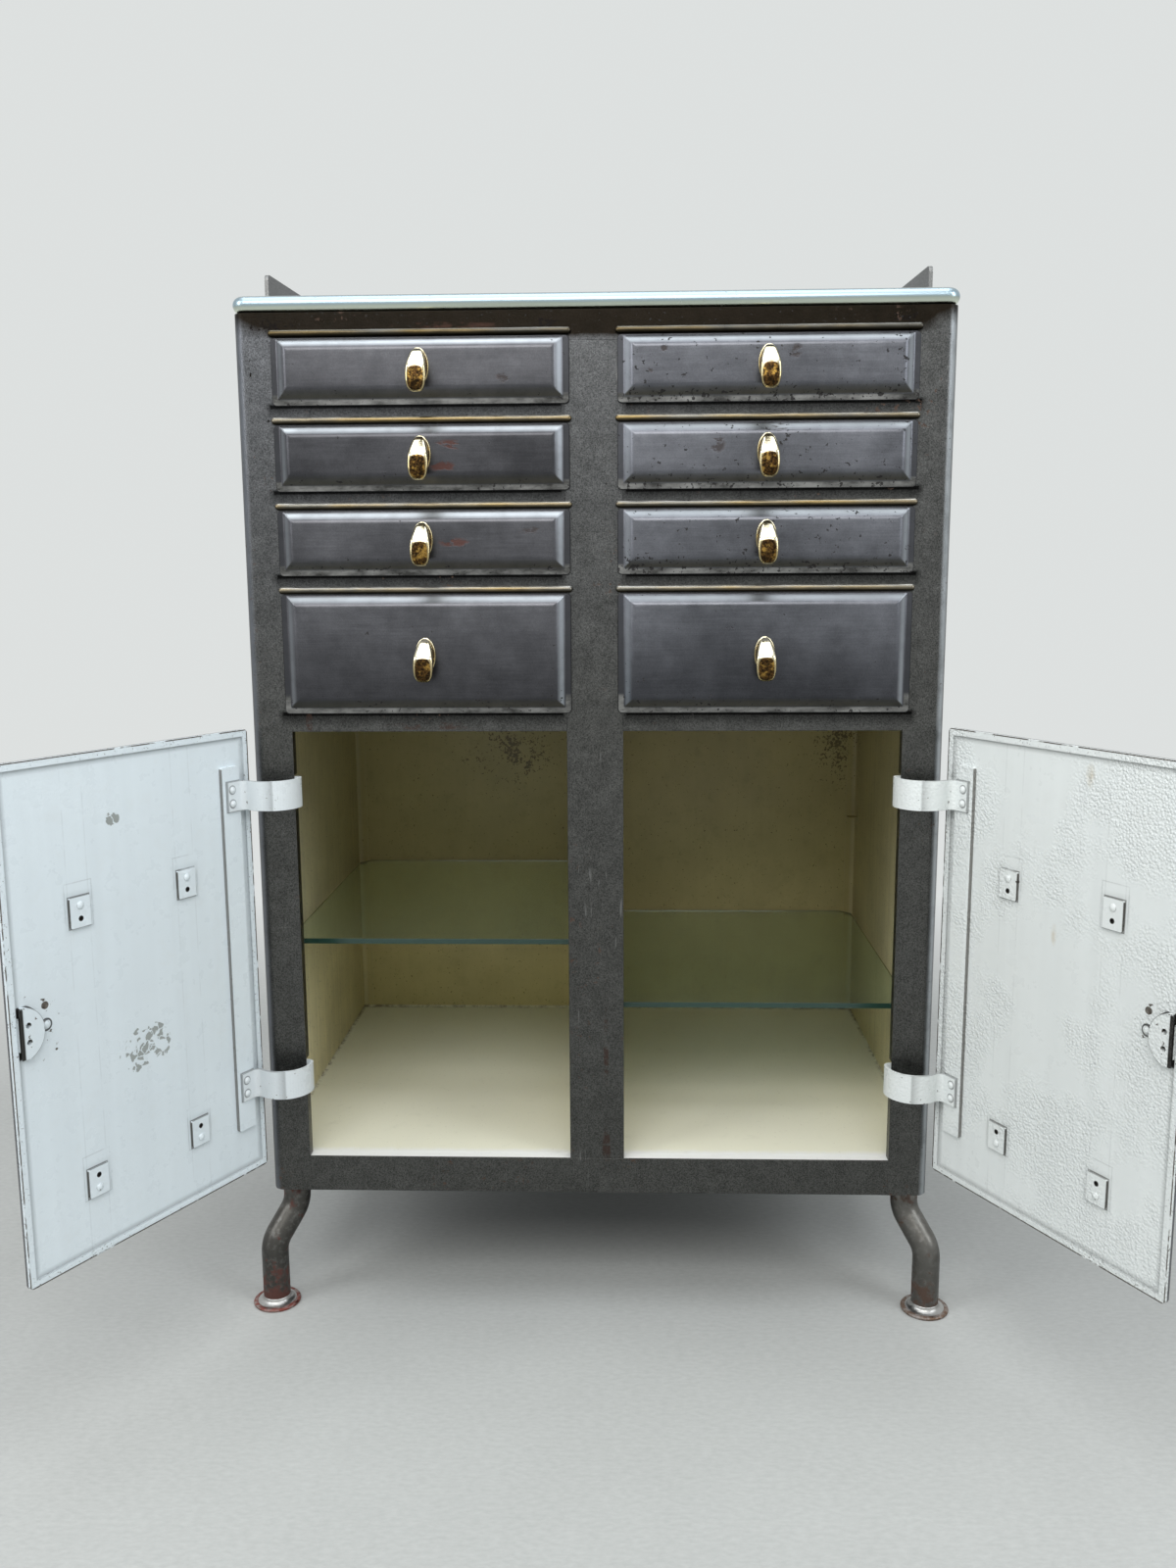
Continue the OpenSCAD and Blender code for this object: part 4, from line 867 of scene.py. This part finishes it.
# Painted reflection: the lowest row is darker, the right drawer most, and each front is lighter towards its
# top.
colour = dim(colour, z, 0.665, 0.745, 0.72, 1.0)
colour = dim(colour, right_side * step(z, 0.76, 0.68), 0, 1, 1.0, 0.72)
colour = dim(colour, tall, -0.5, 0.7, 0.90, 1.14)
colour = dim(colour, brush, 0.3, 0.7, 0.93, 1.07)
colour = dim(colour, mottle, 0.32, 0.68, 0.88, 1.12)
colour = dim(colour, fine, 0.3, 0.7, 0.90, 1.10)
# Painted highlight on the bevel where it faces up and at its ends, and painted shade where it faces down.
on_bevel = step(inset, 5.6, 7.4) * step(inset, 16.2, 13.6)
up = on_bevel * step(nz, 0.05, 0.50)
down = on_bevel * step(nz, -0.05, -0.45)
side_highlight = on_bevel * step(abs(nx), 0.10, 0.5)
highlight_and_wear = step(inset, 6.2, 8.4) * step(inset, 14.2, 10.4) * step(mottle, 0.25, 0.55, 0.75, 1.0)
bevel_highlight = mix(right_side, (0.460, 0.488, 0.515), (0.310, 0.332, 0.352))
bevel_highlight = dim(bevel_highlight, z, 0.773, 0.787, 0.74, 1.0)
colour = mix(up * highlight_and_wear, colour, bevel_highlight)
colour = mix(side_highlight * highlight_and_wear * step(nx, -0.1, 0.1, 0.55, 0.95), colour, (0.300, 0.318, 0.345))
colour = mix(down * step(inset, 15.5, 9.0, 0.1, 0.95), colour,
             mix(mottle, (0.048, 0.047, 0.041), (0.108, 0.102, 0.088)))
# The flat border, its scuffed lower run, and the folded edge, painted near-black as the shade of the gap.
border = step(inset, 0.2, 0.6) * step(inset, 6.3, 5.4)
foot = border * step(tall, -0.66, -0.74) * step(abs(nz), 0.8, 0.4)
colour = mix(border * 0.75, colour, (0.052, 0.053, 0.058))
patchy = step(grain(where, 70, 4, 0.7, 89, (0.4, 1, 1)), 0.36, 0.64)
colour = mix(foot * 0.85, colour, mix(patchy, (0.060, 0.059, 0.055), (0.300, 0.298, 0.288)))
folded_edge_shade = step(inset, 0.9, 0.3)
colour = mix(folded_edge_shade * 0.9, colour, (0.022, 0.022, 0.023))
# Pits, most at the foot and on the right upper drawers, then smears of rust.
more_pits = step(tall, -0.45, -0.85, 0, 0.085) + right_side * step(z, 0.76, 0.80) * 0.065
pits = step(grain(where, 190, 3, 0.6, 85) + more_pits + grain(where, 15, 2, 0.5, 86) * 0.14, 0.79, 0.805)
colour = mix(pits * 0.93, colour, (0.014, 0.012, 0.012))
rust = spots(x, z, ((-0.140, 0.915, 0.020, 0.008), (-0.147, 0.896, 0.017, 0.007),
                    (-0.137, 0.823, 0.020, 0.006), (-0.062, 0.834, 0.016, 0.005),
                    (0.056, 0.985, 0.0042, 0.0052), (0.068, 1.004, 0.0045, 0.0052),
                    (0.194, 1.000, 0.009, 0.009), (0.183, 1.004, 0.006, 0.004),
                    (-0.087, 0.978, 0.009, 0.007), (0.120, 0.915, 0.010, 0.012),
                    (0.178, 0.931, 0.012, 0.006)))
rust = rust * step(grain(where, 120, 4, 0.7, 87, (0.5, 1, 1)), 0.44, 0.58)
rust_colour = mix(step(x, -0.10, -0.09), (0.078, 0.020, 0.011), (0.034, 0.024, 0.022))
colour = mix(step(rust, 0.15, 0.6, 0, 0.8), colour, rust_colour)
spoiled = most(pits, step(rust, 0.15, 0.6))
rough = step(cloud, 0.3, 0.7, 0.27, 0.36) + step(brush, 0.3, 0.7, 0.0, 0.06) + spoiled * 0.3
coat(bsdf, colour, step(spoiled, 0, 1, 1.0, 0.4), rough)
wave = bump(bsdf, grain(where, 11, 2, 0.5, 88), 0.0010, 0.25)
bump(bsdf, brush * 0.12 - spoiled * 0.8, 0.0003, 0.5, wave)
for name in drawers:
    low_box, high_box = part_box(name + "_front")
    middle = (low_box + high_box) * 500
    size = (high_box - low_box) * 1000
    points, insets, heights = pressed_front(size.x, size.z, size.y, border_t=1.8, border_w=6.0, bevel_w=9.0,
                                            radius=4.0, lift=4.8)
    points = points + np.array([middle.x, high_box.y * 1000, middle.z])
    add_piece(name + "_pressed_front", [closed_skin(points)], front_steel, name, [name + "_front"],
              {"inset": [insets], "tall": [heights]})

# ============ 11. Finger pulls ============
# Cast and polished brass: an oval plate with a tongue that leaves its top, slopes out to a
# blunt nose and hangs clear of the plate, so that a finger goes in from below. The slope that faces up
# carries a painted highlight; the blunt face below its knee and the plate's face carry a painted dark amber
# reflection with painted gold glints, inside a bright rim.


def tongue(wide, high, depth, plate_t):
    """Rings down the pull, each a squared oval from the front to the inner face, as wide as a blunt egg
    allows. Front, seen from the side: shoulder, straight slope, knee, upright face, round chin. Inner side: a
    parabola from the plate's upper part to behind the chin."""
    top, tip, knee = high / 2 - 1.0, -high / 2 + 0.6, 3.2
    front = rounded_line(np.array([[top, 1.0], [top - 0.2, plate_t + 0.6], [top - 3.2, plate_t + 7.0],
                                   [knee, depth - 1.2], [tip + 8, depth - 0.1], [tip + 2.2, depth - 1.6],
                                   [tip, depth - 6.0]]), [0.4, 2.6, 2.6, 3.0, 3.0])
    crown, chin = np.linspace(0, np.pi / 2, 10), np.linspace(0, np.pi / 2, 14)
    tall = np.concatenate([top - 4 + 4 * np.cos(crown), np.linspace(top - 4, tip + 5, 44)[1:],
                           tip + 5 * (1 - np.sin(chin))[1:]])
    face = np.interp(-tall, -front[:, 0], front[:, 1])
    share = np.linspace(0, 1, 30)
    inner_z = -18.0 * (1 - share) ** 2 + 12.5 * share ** 2
    inner_y = 15.0 * (1 - share) ** 2 + 36.0 * share * (1 - share) + 0.5 * share ** 2
    inner = np.interp(tall, inner_z, inner_y)
    inner = np.minimum(np.where(tall > 12.5, 0.4, inner), face - 0.3)
    share = np.clip((tall - (tip + top) / 2) / ((top - tip) / 2), -0.9995, 0.9995)
    egg = (wide / 2 - 0.6) * (1 - share ** 2) ** np.where(share < 0, 0.28, 0.42) * (1 - 0.13 * share)
    u = np.linspace(0, 2 * np.pi, 64, endpoint=False)
    power = 2 / 4.4
    flat_x = np.sign(np.cos(u)) * np.abs(np.cos(u)) ** power
    flat_y = np.sign(np.sin(u)) * np.abs(np.sin(u)) ** power
    middle, half = (face + inner) / 2, (face - inner) / 2
    x = egg[:, None] * flat_x
    y = -(middle[:, None] + half[:, None] * flat_y)
    z = np.broadcast_to(tall[:, None], x.shape)
    widest = egg.max()
    across, along = x / (0.80 * widest), (z - (knee + tip) / 2 - 0.3) / ((knee - tip) / 2 - 0.9)
    # The blunt face below the knee, which carries a painted dark reflection.
    dark_reflection = np.clip((1.06 - (np.abs(across) ** 3 + np.abs(along) ** 3)) / 0.16, 0, 1) * (flat_y > 0.3)
    return np.stack([x, y, z], -1)[:, ::-1], dark_reflection[:, ::-1]


def oval_plate(wide, low, high, thick):
    """Rings of an ellipse from low to high, drawn in along a quarter-round edge, its face slightly domed."""
    shape = np.array([[0.90, 0.0], [0.99, 0.0], [1.0, 0.3], [1.0, thick - 1.0], [0.985, thick - 0.5],
                      [0.95, thick - 0.15], [0.88, thick], [0.5, thick + 0.15]])
    u = np.linspace(0, 2 * np.pi, 64, endpoint=False)
    x = shape[:, :1] * wide / 2 * np.cos(u)
    z = (low + high) / 2 + shape[:, :1] * (high - low) / 2 * np.sin(u)
    y = np.broadcast_to(-shape[:, 1:], x.shape)
    return np.stack([x, y, z], -1)


brass, bsdf, where = finish_of("pull_brass")
mark = stored(where, "mark")
cloud = grain(where, 60, 3, 0.6, 91)
fine = grain(where, 520, 4, 0.65, 92)
nx, _, nz = facing(where)
colour = mix(cloud, (0.70, 0.635, 0.445), (0.80, 0.745, 0.575))
# Painted highlight on the slope, which faces up; the other faces are painted darker.
slope = step(nz, 0.05, 0.30) * step(abs(nx), 0.80, 0.55)
colour = mix(slope, mix(cloud, (0.380, 0.300, 0.150), (0.540, 0.450, 0.255)), colour)
# Painted dark reflection on the blunt face and the plate's face, with painted gold glints.
dark_reflection_colour = mix(step(fine, 0.42, 0.62), (0.018, 0.012, 0.007), (0.105, 0.055, 0.018))
dark_reflection_colour = mix(step(grain(where, 170, 3, 0.6, 94), 0.53, 0.66, 0, 0.8), dark_reflection_colour, (0.42, 0.25, 0.060))
colour = mix(mark, colour, dark_reflection_colour)
colour = mix(step(grain(where, 300, 3, 0.6, 93), 0.66, 0.72, 0, 0.6), colour, (0.20, 0.14, 0.06))
coat(bsdf, colour, 1.0, step(fine, 0.3, 0.7, 0.10, 0.20) + mark * 0.10)
bump(bsdf, fine, 0.0003, 0.22)
pull_w, pull_h, pull_out, plate_t = 20.5, 44.0, 22.0, 2.0
tongue_points, dark_reflection = tongue(pull_w, pull_h, pull_out, plate_t)
plate_points = oval_plate(pull_w, -14.0, 22.0, plate_t)
u = np.linspace(0, 2 * np.pi, 24, endpoint=False)
stud_points = np.stack([np.stack([2.5 * np.cos(u), 0 * u + d, 2.5 * np.sin(u)], -1)
                        for d in (-1.0, 4.0, 9.0, 12.5)])
plate_dark_reflection, stud_mark = np.zeros(plate_points.shape[:2]), np.zeros(stud_points.shape[:2])
# The plate's face carries the painted dark reflection too.
plate_dark_reflection[6:] = 0.92
# Each door's pull is turned about the hinge pin with the open door: its middle in the shut door's own frame,
# then from the pin's foot to that frame, and the pin itself, all in millimetres.
pull_middle = np.array([254.0, -14.0, 233.5]) + np.array([335.0 - 313.25, -0.8 - 6.7, 173.0])
pin_foot = np.array([pin[0] * 1000, pin[1] * 1000, 0])
c, s = math.cos(opening), math.sin(opening)
swing = np.array([[c, -s, 0], [s, c, 0], [0, 0, 1]])
for side in ("left", "right"):
    for row in (1, 2, 3, 4):
        name = f"drawer_{side}_{row}"
        low_box, high_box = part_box(name + "_pull")
        place = np.array([(low_box.x + high_box.x) * 500, high_box.y * 1000, (low_box.z + high_box.z) * 500])
        skins = [closed_skin(tongue_points + place), closed_skin(plate_points + place)]
        add_piece(name + "_finger_pull", skins, brass, name, [name + "_pull"],
                  {"mark": [dark_reflection, plate_dark_reflection]})
    skins, marks = [], []
    for points, values in ((tongue_points, dark_reflection), (plate_points, plate_dark_reflection), (stud_points, stud_mark)):
        turned = (points + pull_middle) @ swing + pin_foot
        if side == "right":
            turned, values = (turned * np.array([-1, 1, 1]))[:, ::-1], values[:, ::-1]
        skins.append(closed_skin(turned))
        marks.append(values)
    add_piece(f"door_{side}_finger_pull", skins, brass, f"door_{side}", [f"door_{side}_pull"],
              {"mark": marks})
